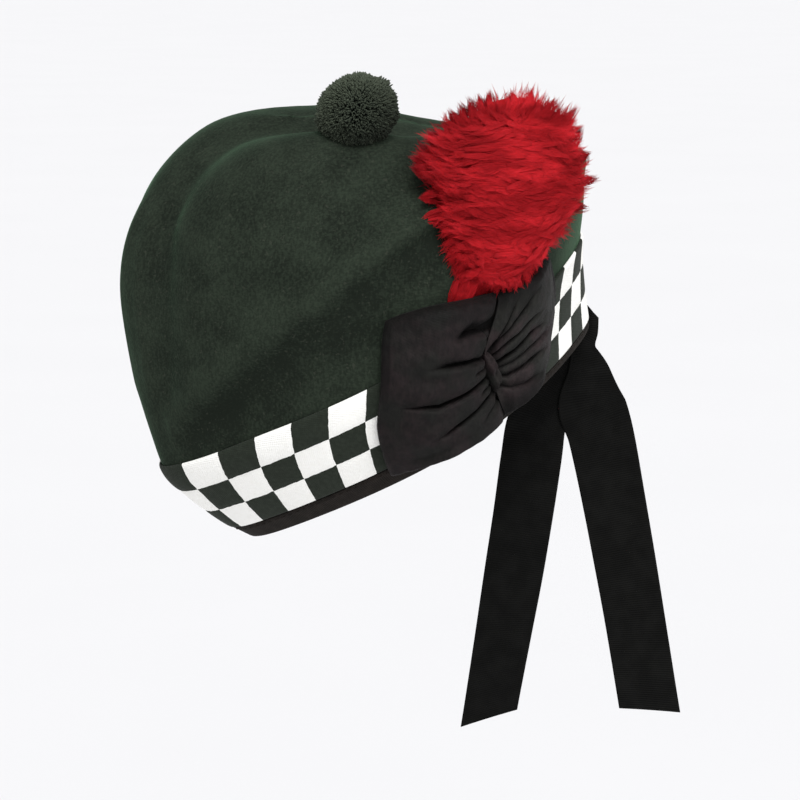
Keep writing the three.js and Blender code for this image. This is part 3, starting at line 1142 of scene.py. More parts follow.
def strand(
    name: str,
    sides: int,
    along: Sequence[float],
    widths: Sequence[float],
    flat: float = 1.0,
    bow: float = 0.0,
    blades: Sequence[tuple[float, float]] = ((0.0, 1.0),),
) -> bpy.types.Object:
    """Makes a strand of length 1 along Z that ends in a point, or a lock of flat ones.

    Args:
        name: the helper's name.
        sides: the sides of its section.
        along: the places of its sections, from 0 at the root.
        widths: the half width of each section.
        flat: its thickness as a share of its width, with sharp edges below 1.
        bow: how far it bulges to +Y halfway along.
        blades: each strand's place across the lock and its length.

    Returns:
        The strand, for a planting.
    """
    rows = len(widths)
    turn = np.arange(sides + 1) / sides
    stops = np.append(along, 1.0)
    points: list[list[float]] = []
    faces: list[list[int]] = []
    uv: list[tuple[float, float]] = []
    for place, reach in blades:
        z = stops * reach
        across = place * (1.0 - z) * (LOCK_FOOT + LOCK_SPREAD * z)
        line = np.stack([across, 4.0 * bow * z * (1.0 - z), z], -1)
        first = len(points)
        for angle in turn[:-1] * TURN:
            aside = np.array([math.cos(angle), math.sin(angle) * flat, 0.0])
            points += (line[:-1] + aside * np.array(widths)[:, None]).tolist()
        points += [line[-1].tolist(), line[0].tolist()]
        for side in range(sides):
            here, there = first + side * rows, first + (side + 1) % sides * rows
            for row in range(rows - 1):
                faces.append([here + row, there + row, there + row + 1, here + row + 1])
                uv += [(turn[side + a], along[row + b]) for a, b in ((0, 0), (1, 0), (1, 1), (0, 1))]
            faces.append([here + rows - 1, there + rows - 1, first + sides * rows])
            uv += [(turn[side], along[-1]), (turn[side + 1], along[-1]), (turn[side], 1.0)]
            faces.append([there, here, first + sides * rows + 1])
            uv += [(turn[side], 0.0)] * 3
    mesh = bpy.data.meshes.new(name)
    mesh.from_pydata(points, [], faces)
    mesh.uv_layers.new(name="cloth").data.foreach_set("uv", np.array(uv, dtype=np.float32).ravel())
    mesh.polygons.foreach_set("use_smooth", np.full(len(faces), flat >= 1.0))
    return bpy.data.objects.new(name, mesh)


class Planting(Graph):
    """Geometry nodes that repeat a strand on points or along a path, and give one plain mesh."""

    def __init__(self, name: str, along_path: bool) -> None:
        """Builds the tree.

        Args:
            name: the tree's name.
            along_path: whether the strands follow a path, or stand on points by what those store.
        """
        super().__init__(bpy.data.node_groups.new(name, "GeometryNodeTree"))
        self.keys = {
            title: self.tree.interface.new_socket(title, in_out="INPUT", socket_type=kind).identifier
            for title, kind in (
                ("Geometry", "NodeSocketGeometry"),
                ("Strand", "NodeSocketObject"),
                ("Core", "NodeSocketObject"),
                ("Finish", "NodeSocketMaterial"),
                ("Girth", "NodeSocketFloat"),
                ("Length", "NodeSocketFloat"),
                ("Spacing", "NodeSocketFloat"),
                ("Roll", "NodeSocketFloat"),
                ("Seed", "NodeSocketInt"),
            )
        }
        self.tree.interface.new_socket("Geometry", in_out="OUTPUT", socket_type="NodeSocketGeometry")
        given = self.node("NodeGroupInput").outputs
        points, lie, length = self.path(given) if along_path else self.points(given)
        aimed = self.wire("FunctionNodeAlignRotationToVector", {"axis": "Z"}, {"Vector": lie})
        settings = {"axis": "Y", "pivot_axis": "Z"}
        inputs = {"Rotation": aimed, "Vector": self.stored("face", "FLOAT_VECTOR")}
        faced = self.wire("FunctionNodeAlignRotationToVector", settings, inputs)
        inputs = {"Max": given["Roll"], "Seed": given["Seed"]}
        roll = self.wire("FunctionNodeRandomValue", {"data_type": "FLOAT"}, inputs, "Value")
        spun = self.wire("FunctionNodeAxisAngleToRotation", None, {"Axis": (0.0, 0.0, 1.0), "Angle": roll})
        turned = self.wire("FunctionNodeRotateRotation", {"rotation_space": "LOCAL"}, {0: faced, 1: spun})
        inputs = {"X": given["Girth"], "Y": given["Girth"], "Z": length}
        size = self.wire("ShaderNodeCombineXYZ", None, inputs)
        shape = self.wire("GeometryNodeObjectInfo", None, {"Object": given["Strand"]}, "Geometry")
        inputs = {"Points": points, "Instance": shape, "Rotation": turned, "Scale": size}
        planted = self.wire("GeometryNodeInstanceOnPoints", None, inputs)
        joined = self.node("GeometryNodeJoinGeometry")
        core = self.wire("GeometryNodeObjectInfo", None, {"Object": given["Core"]}, "Geometry")
        for part in (core, planted):
            self.feed(joined.inputs[0], part)
        plain = self.wire("GeometryNodeRealizeInstances", None, {"Geometry": joined.outputs[0]})
        done = self.wire("GeometryNodeSetMaterial", None, {"Geometry": plain, "Material": given["Finish"]})
        self.node("NodeGroupOutput", None, {"Geometry": done})

    def stored(self, name: str, kind: str) -> bpy.types.NodeSocket:
        """Reads what each point stores under a name."""
        return self.wire("GeometryNodeInputNamedAttribute", {"data_type": kind}, {"Name": name}, "Attribute")

    def points(self, given: Any) -> tuple[Any, Any, Any]:
        """Gives the points, and each one's stored direction and length."""
        return given["Geometry"], self.stored("lie", "FLOAT_VECTOR"), self.stored("reach", "FLOAT")

    def path(self, given: Any) -> tuple[Any, Any, Any]:
        """Spaces points along the path.

        Args:
            given: the tree's inputs.

        Returns:
            The points, the path's direction at each and the strands' length.
        """
        curve = self.wire("GeometryNodeMeshToCurve", None, {"Mesh": given["Geometry"]})
        inputs = {"Curve": curve, "Length": given["Spacing"]}
        spaced = self.wire("GeometryNodeResampleCurve", {"mode": "LENGTH"}, inputs)
        return spaced, self.wire("GeometryNodeInputTangent"), given["Length"]

    def plant(self, name: str, base: bpy.types.Mesh, **values: Any) -> bpy.types.Object:
        """Runs the tree on a mesh, and removes the strand and the core after use.

        Args:
            name: the piece's name.
            base: the points or path.
            values: the tree's inputs by title.

        Returns:
            The piece as one plain mesh with no modifier.
        """
        piece = bpy.data.objects.new(name, base)
        bpy.context.scene.collection.objects.link(piece)
        modifier = piece.modifiers.new("planting", "NODES")
        modifier.node_group = self.tree
        for title, value in values.items():
            modifier[self.keys[title]] = value
        graph = bpy.context.evaluated_depsgraph_get()
        plain = bpy.data.meshes.new_from_object(piece.evaluated_get(graph))
        piece.modifiers.remove(modifier)
        piece.data = plain
        plain.name = name
        for helper in values.values():
            if isinstance(helper, bpy.types.Object):
                bpy.data.meshes.remove(helper.data)
        return piece


def root_points(roots: Array, lies: Array, faces: Array, tones: Array) -> bpy.types.Mesh:
    """Makes points that store how a strand stands on each.

    Args:
        roots: the strands' feet in metres.
        lies: from each foot to the strand's tip.
        faces: the way each strand's flat side faces.
        tones: each strand's shade, from 0 to 1.

    Returns:
        A mesh of bare points.
    """
    mesh = bpy.data.meshes.new("roots")
    mesh.from_pydata(roots.tolist(), [], [])
    stored = (
        ("lie", "FLOAT_VECTOR", "vector", lies),
        ("face", "FLOAT_VECTOR", "vector", faces),
        ("reach", "FLOAT", "value", np.linalg.norm(lies, axis=1)),
        ("tone", "FLOAT", "value", tones),
    )
    for name, kind, key, values in stored:
        mesh.attributes.new(name, kind, "POINT").data.foreach_set(key, values.astype(np.float32).ravel())
    return mesh


def ball(name: str, centre: Array, half_sizes: Sequence[float], turn: Any = tip) -> bpy.types.Object:
    """Makes a round core for strands.

    Args:
        name: the helper's name.
        centre: its middle in millimetres.
        half_sizes: its half sizes.
        turn: takes its points to the frame, in metres.

    Returns:
        The core, for a planting.
    """
    mesh = bpy.data.meshes.new(name)
    work = bmesh.new()
    bmesh.ops.create_icosphere(work, subdivisions=CORE_ROUNDS, radius=1.0)
    work.to_mesh(mesh)
    work.free()
    points = np.array([point.co for point in mesh.vertices]) * half_sizes + centre
    mesh.vertices.foreach_set("co", turn(points).astype(np.float32).ravel())
    return bpy.data.objects.new(name, mesh)


# Sub-assemblies


@dataclass
class Crown:
    """The felt shell, creased along its top and open at the rim."""

    wall: float = FELT_WALL
    columns: int = 300
    rows: int = 112
    swell: float = 0.45
    swell_length: float = 60.0
    seed: int = 4
    settling: float = 0.06
    degree: float = 1.4
    tall: float = 205.0
    crest: Triple = (16.7, 0.0, 173.6)
    crest_press: float = 2.8
    crest_spread: float = 9.0
    ridge_press: float = 2.5
    ridge_reach: float = 8.0
    ridge_front: Range = (4.0, 22.0)
    ridge_back: Range = (84.0, 104.0)
    ridge_height: Range = (0.82, 0.90)
    finish: Felt = Felt()

    def pressed(self, face: Array, height: Array) -> Array:
        """Gives how far the ridge over the top seam and the seam's front end are rounded off.

        Args:
            face: points on the felt.
            height: their shares of the wall's height.

        Returns:
            The depth at each point.
        """
        x, y, _ = np.moveaxis(face, -1, 0)
        near = np.clip(1.0 - np.abs(y) / self.ridge_reach, 0.0, None) ** 2
        along = smooth(x, *self.ridge_front) * (1.0 - smooth(x, *self.ridge_back))
        from_crest = np.linalg.norm(face - np.array(self.crest), axis=-1)
        crest = self.crest_press * np.exp(-((from_crest / self.crest_spread) ** 2))
        return self.ridge_press * near * along * smooth(height, *self.ridge_height) + crest

    def worked(self, angle: Array, height: Array) -> tuple[Array, Array]:
        """Gives how far the dents raise the felt and the painted highlight and shade they lay on it, measured
        on the wall laid flat.

        Args:
            angle: angles round the cap.
            height: shares of the wall's height.

        Returns:
            The rise in millimetres, and the painted tone, lighter on the ridges and darker in the valleys.
        """
        scale = np.array([self.degree, self.tall])
        flat = np.stack([from_front(angle), height], -1) * scale
        rise, tone = np.zeros(angle.shape), np.zeros(angle.shape)
        for dent in DENTS:
            path = np.array(dent.path) * scale
            near = np.full(angle.shape, np.inf)
            for start, end in zip(path[:-1], path[1:]):
                run = end - start
                along = np.clip((flat - start) @ run / (run @ run), 0.0, 1.0)
                near = np.minimum(near, np.linalg.norm(flat - start - along[..., None] * run, axis=-1))
            share = np.exp(-((near / dent.spread) ** 2))
            rise += dent.rise * share
            tone += dent.tone * share
        return rise, tone

    def build(self) -> bpy.types.Object:
        """Builds and dresses the felt.

        Returns:
            The felt.
        """
        around = np.arange(self.columns) / self.columns * TURN
        angle, height = np.meshgrid(around, np.linspace(0.0, 1.0, self.rows), indexing="ij")
        face = FORM.point(angle, height)
        uneven = self.swell * ripple(face, self.swell_length, self.seed)
        rounded = FORM.crease_outward(face) * self.pressed(face, height)[..., None]
        rise, tone = self.worked(angle, height)
        uneven = (uneven + rise) * smooth(height, BAND_TOP, BAND_TOP + self.settling)
        outer = tip(FORM.off(angle, height, uneven) - rounded)
        inner = tip(FORM.off(angle, height, uneven - self.wall) - rounded)
        # The dents' painted highlight and shade go to the felt's colour through the cloth's uv
        tone = np.concatenate([tone, tone[:1]])
        piece = Shell(outer, inner, np.stack([tone, tone], -1), ring=True).build("felt_crown")
        return dress(piece, Slot.FELT, self.finish.material(), "crown")


@dataclass
class Rim:
    """The diced band, the binding tape and its stitches."""

    gap: float = 0.35
    cloth: float = 1.2
    tape: float = 1.0
    felt: float = FELT_WALL
    checks_round: int = 32
    checks_high: int = CHECKS_HIGH
    phase: float = 0.28
    lean: float = 0.8
    lean_turn: float = 2.5
    steps: int = 12
    edge_stops: Triple = (0.0, 0.02, 0.06)
    edge_cloth: float = 0.35
    pillow: float = 0.4
    pillow_power: int = 8
    back_edge: float = 0.03
    back_top: float = 0.292
    back_reach: Range = (90.0, 125.0)
    tape_clear: float = 0.004
    binding_columns: int = 420
    wall_steps: int = 6
    bend_steps: int = 10
    stitch_drop: float = 0.016
    stitch_spacing: float = 4.4
    stitch_length: float = 2.7
    stitch_girth: float = 0.28
    stitch_seed: int = 1
    thread_sides: int = 5
    thread_stops: tuple[float, ...] = (0.0, 0.15, 0.5, 0.85)
    thread_widths: tuple[float, ...] = (0.3, 0.9, 1.0, 0.9)
    band_flat: Range = (0.056, 0.62)
    tape_flat: Range = (0.022, 0.53)
    dicing: Dicing = Dicing()
    binding: Tape = Tape()

    def build(self) -> list[bpy.types.Object]:
        """Builds and dresses the band, the binding and the stitches."""
        return [self.build_band(), *self.build_binding()]

    def come_down(self, angle: Array) -> Array:
        """Gives how far the band has come down towards the rim, as it does at the back."""
        return smooth(from_front(angle), *self.back_reach)

    def low_edge(self, angle: Array) -> Array:
        """Gives the height of the band's lower edge."""
        return mix(BINDING_TOP, self.back_edge, self.come_down(angle))

    def high_edge(self, angle: Array) -> Array:
        """Gives the height of the band's upper edge."""
        return mix(BAND_TOP, self.back_top, self.come_down(angle))

    def raised(self, place: Array) -> Array:
        """Gives how far a check is raised, from 0 at both its edges to 1."""
        return 1.0 - (2.0 * (place % 1.0) - 1.0) ** self.pillow_power

    def build_band(self) -> bpy.types.Object:
        """Builds the band, with each check a little raised and its edges rounded.

        Returns:
            The band.
        """
        along = np.arange(self.checks_round * self.steps + 1) / self.steps
        edge = np.array(self.edge_stops)
        inside = np.arange(1, self.checks_high * self.steps) / self.steps
        up = np.concatenate([edge, inside, self.checks_high - edge[::-1]])
        level = mix(BINDING_TOP, BAND_TOP, up / self.checks_high)
        share = (along - self.phase) / self.checks_round
        lean = self.lean / self.checks_round * np.tanh(self.lean_turn * np.sin(TURN * share))
        rows = zip(level, up / self.checks_high - 0.5)
        angle = np.stack([FORM.angle_at_arc(share + lean * above, one) for one, above in rows], -1)[:-1]
        height = mix(self.low_edge(angle), self.high_edge(angle), up / self.checks_high)
        u, v = np.meshgrid(along, up, indexing="ij")
        inward = np.clip(np.minimum(v, self.checks_high - v) / edge[-1], 0.0, 1.0)
        rounded = np.sqrt(np.clip(1.0 - (1.0 - inward) ** 2, 0.0, None))
        pillow = self.pillow * (self.raised(u) * self.raised(v))
        thickness = self.cloth * mix(self.edge_cloth, 1.0, rounded) + pillow
        outer = FORM.off(angle, height, (self.gap + thickness)[:-1])
        inner = FORM.off(angle, height, np.full(angle.shape, self.gap))
        piece = Shell(tip(outer), tip(inner), np.stack([u, v], -1), ring=True).build("dicing_band")
        dress(piece, Slot.DICING, self.dicing.material(), "diced_band")
        return piece

    def tape_section(self, angle: Array, distance: float) -> Array:
        """Gives the tape's section: down inside the felt, round the rim and up outside.

        Args:
            angle: a column of angles.
            distance: how far off the felt this face of the tape lies.

        Returns:
            Points, columns by rows.
        """
        wall = np.linspace(0.0, 1.0, self.wall_steps) * (self.low_edge(angle) - self.tape_clear)
        rim = np.zeros_like(angle)
        middle = FORM.off(angle, rim, np.full(angle.shape, -self.felt / 2))
        out, rise = FORM.normal(angle, rim), FORM.rise(angle, rim)
        bend = np.linspace(0.0, math.pi, self.bend_steps)[None, 1:-1, None]
        radius = self.felt / 2 + distance
        under = middle - radius * (np.cos(bend) * out + np.sin(bend) * rise)
        inside = FORM.off(angle, wall[:, ::-1], np.full(wall.shape, -self.felt - distance))
        outside = FORM.off(angle, wall, np.full(wall.shape, distance))
        return np.concatenate([inside, under, outside], 1)

    def build_binding(self) -> list[bpy.types.Object]:
        """Builds the tape and the stitches that hold it.

        Returns:
            The tape and the stitches.
        """
        share = np.arange(self.binding_columns + 1) / self.binding_columns
        angle = FORM.angle_at_arc(share, 0.0)[:-1, None]
        outer = self.tape_section(angle, self.gap + self.tape)
        inner = self.tape_section(angle, self.gap)
        around = np.round(arc_length(outer[:, 0])[-1])
        u, v = np.meshgrid(around * share, np.arange(outer.shape[1]), indexing="ij")
        piece = Shell(tip(outer), tip(inner), np.stack([u, v], -1), ring=True).build("binding_tape")
        material = self.binding.material()
        dress(piece, Slot.TAPE, material, "edge_binding")
        height = self.low_edge(angle) - self.stitch_drop
        line = tip(FORM.off(angle, height, np.full(angle.shape, self.gap + self.tape)))[:, 0]
        path = bpy.data.meshes.new("stitch_path")
        count = len(line)
        path.from_pydata(line.tolist(), [(k, (k + 1) % count) for k in range(count)], [])
        stitches = Planting("stitching", along_path=True).plant(
            "binding_stitches",
            path,
            Strand=strand("thread", self.thread_sides, self.thread_stops, self.thread_widths),
            Finish=material,
            Girth=self.stitch_girth * MM,
            Length=self.stitch_length * MM,
            Spacing=self.stitch_spacing * MM,
            Roll=TURN,
            Seed=self.stitch_seed,
        )
        return [piece, dress(stitches, Slot.TAPE, material)]


@dataclass
class Toorie:
    """The wool pompom on the crease."""

    x: float = 34.2
    y: float = -47.1
    z: float = 163.6
    radius: float = 20.0
    half_height: float = 17.9
    core_share: float = 0.8
    strands: int = 7800
    scatter: float = 0.03
    root_depth: float = 0.5
    girth: float = 0.4
    splay: float = 0.07
    uneven: float = 0.03
    clump: float = 9.0
    ragged: float = 0.018
    sink: float = -0.6
    tone: float = 0.35
    painted_top_light: float = 0.54
    tone_chance: float = 0.16
    yarn_sides: int = 4
    yarn_stops: Triple = (0.0, 0.6, 0.94)
    yarn_widths: Triple = (0.75, 1.0, 0.9)
    seed: int = 7
    finish: Yarn = Yarn()

    def build(self, seat: Seat, planting: Planting) -> bpy.types.Object:
        """Plants the yarn over a core.

        Args:
            seat: keeps the yarn out of the felt.
            planting: the tree that plants strands on points.

        Returns:
            The pompom.
        """
        draw = np.random.default_rng(self.seed)
        out = unit(even_directions(self.strands) + draw.normal(0.0, self.scatter, (self.strands, 3)))
        half_sizes = np.array([self.radius, self.radius, self.half_height])
        centre = np.array([self.x, self.y, self.z])
        reach = 1.0 + self.uneven * ripple(out * self.radius, self.clump, self.seed)
        reach = reach + draw.normal(0.0, self.ragged, self.strands)
        roots = centre + out * half_sizes * self.root_depth
        lean = unit(out + draw.normal(0.0, self.splay, out.shape))
        tips = centre + lean * half_sizes * reach[:, None]
        over, _ = seat.clearance(tips)
        keep = over > self.sink
        # Painted light on the top strands and painted shade beneath them, on top of random tone
        tones = self.tone + self.painted_top_light * out[:, 2] + draw.normal(0.0, self.tone_chance, self.strands)
        tones = np.clip(tones, 0.0, 1.0)
        points = root_points(tip(roots)[keep], tip(tips - roots)[keep], out[keep], tones[keep])
        material = self.finish.material()
        piece = planting.plant(
            "toorie_pompom",
            points,
            Strand=strand("yarn", self.yarn_sides, self.yarn_stops, self.yarn_widths),
            # The core has no cloth numbers, so it takes the yarn's root colour: painted shade showing in the
            # gaps between strands
            Core=ball("core", centre, half_sizes * self.core_share),
            Finish=material,
            Girth=self.girth * MM,
            Roll=TURN,
            Seed=self.seed,
        )
        return dress(piece, Slot.WOOL, material, "toorie")


class Groove(NamedTuple):
    """A gather in a loop: its places out from the knot and up the loop, its depth and its width."""

    path: tuple[tuple[float, float], ...]
    depth: float
    width: float


@dataclass(frozen=True)
class Loop:
    """One loop of the cockade, from the knot out to its folded edge and back beneath."""

    name: str
    node: str
    root_angle: float
    root_rise: float
    root_slant: float
    edge_angle: float
    edge_slant: float
    bow: float
    root_low: float
    root_high: float
    edge_low: float
    edge_high: float
    pinch: float
    bulge: float
    # Painted shade over the whole loop and over its lower part
    shade: float
    low_shade: float
    flat: Range
    grooves: tuple[Groove, ...]


FRONT_LOOP = Loop(
    "cockade_front",
    "cockade_front_loop",
    root_angle=102.4,
    root_rise=0.9,
    root_slant=6.5,
    edge_angle=74.5,
    edge_slant=6.3,
    bow=1.6,
    root_low=0.03,
    root_high=0.42,
    edge_low=0.066,
    edge_high=0.478,
    pinch=1.3,
    bulge=7.0,
    shade=0.54,
    low_shade=0.0,
    flat=(0.078, 0.118),
    grooves=(
        Groove(
            ((0.02, 0.42), (0.20, 0.43), (0.40, 0.43), (0.57, 0.44), (0.78, 0.52), (0.94, 0.59)),
            6.0,
            0.020,
        ),
        Groove(
            ((0.00, 0.58), (0.05, 0.59), (0.21, 0.65), (0.38, 0.70), (0.54, 0.73), (0.72, 0.75)),
            6.5,
            0.024,
        ),
        Groove(
            ((0.00, 0.31), (0.16, 0.28), (0.27, 0.26), (0.42, 0.24), (0.56, 0.22), (0.72, 0.23)),
            5.0,
            0.020,
        ),
        Groove(((-0.08, 0.81), (0.18, 0.84), (0.34, 0.86), (0.56, 0.85)), 9.0, 0.032),
        Groove(((0.00, 0.60), (0.07, 0.68), (0.12, 0.77), (0.20, 0.86)), 4.0, 0.025),
        Groove(((-0.02, 0.50), (0.12, 0.52), (0.30, 0.56)), 2.6, 0.020),
        Groove(((-0.02, 0.36), (0.10, 0.36), (0.28, 0.34)), 2.6, 0.020),
        Groove(((-0.02, 0.22), (0.12, 0.20), (0.32, 0.14)), 3.2, 0.025),
        Groove(((0.30, 0.62), (0.60, 0.66), (0.95, 0.76)), 1.3, 0.060),
        Groove(((0.40, 0.33), (0.70, 0.36), (0.95, 0.42)), 1.1, 0.060),
        Groove(((0.35, 0.10), (0.65, 0.10), (0.95, 0.16)), 1.3, 0.050),
        Groove(((0.50, 0.88), (0.75, 0.85), (0.97, 0.88)), 1.1, 0.050),
    ),
)
BACK_LOOP = Loop(
    "cockade_back",
    "cockade_back_loop",
    root_angle=100.8,
    root_rise=3.2,
    root_slant=6.5,
    edge_angle=125.2,
    edge_slant=3.1,
    bow=5.6,
    root_low=0.03,
    root_high=0.42,
    edge_low=0.07,
    edge_high=0.432,
    pinch=2.0,
    bulge=6.0,
    shade=0.0,
    low_shade=0.85,
    flat=(0.062, 0.096),
    grooves=(
        Groove(((0.05, 0.48), (0.29, 0.49), (0.48, 0.53), (0.72, 0.54)), 4.2, 0.026),
        Groove(((0.02, 0.56), (0.12, 0.65), (0.20, 0.80), (0.28, 0.95)), 4.5, 0.035),
        Groove(((0.05, 0.40), (0.17, 0.34), (0.38, 0.32), (0.78, 0.30)), 4.0, 0.026),
        Groove(((0.08, 0.60), (0.24, 0.74), (0.38, 0.80), (0.58, 0.92)), 3.8, 0.028),
        Groove(((0.05, 0.54), (0.22, 0.61), (0.42, 0.66), (0.66, 0.72)), 3.2, 0.026),
        Groove(((0.05, 0.44), (0.25, 0.42), (0.50, 0.42), (0.85, 0.42)), 2.8, 0.026),
        Groove(((0.02, 0.34), (0.16, 0.24), (0.36, 0.18), (0.70, 0.14)), 3.2, 0.030),
    ),
)


class Crumple(NamedTuple):
    """An uneven swell of the silk: its height, its usual length and what fixes its directions."""

    height: float
    length: float
    seed: int


@dataclass
class Cockade:
    """The gathered silk bow on the left side."""

    lie: float = 2.4
    silk: float = 0.7
    full_rise: float = 4.5
    full_from: float = 0.14
    fold_rise: float = 5.0
    least_rise: float = 0.8
    degree: float = 1.95
    root_bend: Range = (0.62, 1.05)
    rows: int = 150
    out_steps: int = 90
    fold_steps: int = 12
    back_steps: int = 40
    back_to: float = 0.12
    roll: float = 0.1
    roll_drop: float = 0.7
    groove_start: float = 0.1
    groove_end: float = 0.4
    groove_slope: float = 3.0
    groove_wall: float = 1.5
    # How deep a gather gets full painted shade, and the painted shade along the folded edge and the top
    shade_depth: float = 5.0
    edge_shade: float = 0.8
    edge_shade_out: Range = (0.92, 1.0)
    edge_shade_up: Range = (0.35, 0.8)
    top_shade: float = 0.75
    top_shade_up: Range = (0.75, 1.0)
    low_shade_down: Range = (0.68, 0.95)
    crumples: tuple[Crumple, ...] = (Crumple(0.45, 26.0, 3), Crumple(0.26, 12.0, 5), Crumple(0.10, 5.0, 8))
    crumple_out: Range = (0.0, 0.2)
    crumple_rise: Range = (0.8, 3.0)
    knot_angle: float = 101.6
    knot_height: float = 0.205
    knot_lift: float = 2.2
    knot_length: float = 3.0
    knot_high: float = 11.0
    knot_depth: float = 4.4
    knot_rounding: float = 0.7
    knot_columns: int = 96
    knot_rows: int = 49
    knot_pleats: int = 3
    knot_pleat: float = 0.09
    knot_sway: float = 0.7
    knot_crumple: Crumple = Crumple(1.3, 7.0, 6)
    knot_rib: float = 0.4
    finish: Silk = Silk()

    def build(self) -> list[bpy.types.Object]:
        """Builds and dresses both loops and the knot.

        Returns:
            The three pieces.
        """
        material = self.finish.material()
        loops = [self.build_loop(loop, material) for loop in (FRONT_LOOP, BACK_LOOP)]
        return [*loops, self.build_knot(material)]

    def gathered(self, loop: Loop, out: Array, up: Array) -> Array:
        """Gives how deep the gathers are.

        Args:
            loop: the loop they are in.
            out: shares of the way out from the knot.
            up: shares of the way up the loop.

        Returns:
            The depth at each place.
        """
        depth = np.zeros(np.broadcast_shapes(out.shape, up.shape))
        for groove in loop.grooves:
            outs, ups = np.array(groove.path).T
            along = (out - outs[0]) / (outs[-1] - outs[0])
            fade = smooth(along, -self.groove_start, self.groove_start)
            fade = fade * smooth(1.0 - along, 0.0, self.groove_end)
            above = (up - np.interp(out, outs, ups)) / groove.width
            slope = 0.5 * np.exp(-above.clip(0.0) / self.groove_slope) + 0.5 * np.exp(-(above**2))
            wall = np.exp(-((self.groove_wall * above) ** 2))
            depth += groove.depth * fade * np.where(above > 0.0, slope, wall)
        return depth

    def spread(self, loop: Loop, share: Array, bend: Array, up: Array) -> tuple[Array, Array]:
        """Spreads a loop over the wall.

        Args:
            loop: its sizes.
            share: shares of the way out from the knot.
            bend: how far the silk has turned round the folded edge.
            up: shares of the way up the loop.

        Returns:
            The angle and height of each place.
        """
        opened = 1.0 - (1.0 - share) ** loop.pinch
        low = mix(loop.root_low, loop.edge_low, opened)
        height = mix(low, mix(loop.root_high, loop.edge_high, opened), up)
        beyond = math.copysign(self.fold_rise / 2 / self.degree, loop.edge_angle - loop.root_angle)
        edge = loop.edge_angle + loop.edge_slant * (2.0 * up - 1.0)
        edge = edge - math.copysign(loop.bow, beyond) * (2.0 * up - 1.0) ** 2
        root = loop.root_angle + loop.root_slant * smooth(up, *self.root_bend)
        return np.radians(mix(root, edge, share) + beyond * np.sin(bend)), height

    def swell(self, loop: Loop, share: Array, up: Array, gathers: Array, flat: Array) -> Array:
        """Gives how far the silk stands off the wall, before it is folded back.

        Args:
            loop: the loop's sizes.
            share: shares of the way out from the knot.
            up: shares of the way up the loop.
            gathers: how deep the gathers are.
            flat: the places on the wall.

        Returns:
            The rise at each place.
        """
        full = mix(self.full_rise, self.fold_rise, share) + loop.bulge * np.sin(math.pi * share)
        rise = mix(loop.root_rise, full, smooth(share, 0.0, self.full_from))
        rise = np.clip(rise - gathers, self.least_rise, None)
        crumple = sum(one.height * ripple(flat, one.length, one.seed) for one in self.crumples)
        rise = rise + crumple * smooth(share, *self.crumple_out) * smooth(rise, *self.crumple_rise)
        rolled = np.clip((np.abs(2.0 * up - 1.0) - 1.0 + self.roll) / self.roll, 0.0, 1.0)
        return rise * (1.0 - self.roll_drop * rolled**2)

    def shades(self, loop: Loop, share: Array, up: Array, gathers: Array) -> Array:
        """Gives the silk's painted shade in its gathers, along its folded edge and its top, and, where a loop
        is given them, over its lower part and over all of it.

        Args:
            loop: the loop's sizes.
            share: shares of the way out from the knot.
            up: shares of the way up the loop.
            gathers: how deep the gathers are.

        Returns:
            The painted shade at each place, 0 for plain silk.
        """
        edge = self.edge_shade * smooth(share, *self.edge_shade_out) * smooth(up, *self.edge_shade_up)
        shade = np.maximum(gathers / self.shade_depth + edge, self.top_shade * smooth(up, *self.top_shade_up))
        low = loop.low_shade * smooth(1.0 - up, *self.low_shade_down)
        return np.maximum(np.maximum(shade, low), loop.shade)

    def build_loop(self, loop: Loop, material: bpy.types.Material) -> bpy.types.Object:
        """Builds one loop as a closed sheet.

        Args:
            loop: its sizes.
            material: the silk.

        Returns:
            The loop.
        """
        out = np.linspace(0.0, 1.0, self.out_steps)
        fold = np.linspace(0.0, math.pi, self.fold_steps)[1:-1]
        back = np.linspace(1.0, self.back_to, self.back_steps)
        share = np.concatenate([out, np.ones(len(fold)), back])[None, :]
        bend = np.concatenate([np.zeros(len(out)), fold, np.full(len(back), math.pi)])[None, :]
        up = np.linspace(0.0, 1.0, self.rows)[:, None]
        angle, height = self.spread(loop, share, bend, up)
        gathers = self.gathered(loop, share, up)
        swell = self.swell(loop, share, up, gathers, FORM.point(angle, height))
        middle = FORM.off(angle, height, self.lie + swell * (1.0 + np.cos(bend)) / 2)
        outer, inner = both_faces(middle, self.silk)
        tall = arc_length(middle[:, self.out_steps // 2])[-1]
        # The cloth's first number carries the painted shade to the silk
        uv = np.stack(np.broadcast_arrays(self.shades(loop, share, up, gathers), up * tall), -1)
        piece = Shell(tip(outer), tip(inner), uv).build(loop.name)
        dress(piece, Slot.SILK, material, loop.node)
        return piece

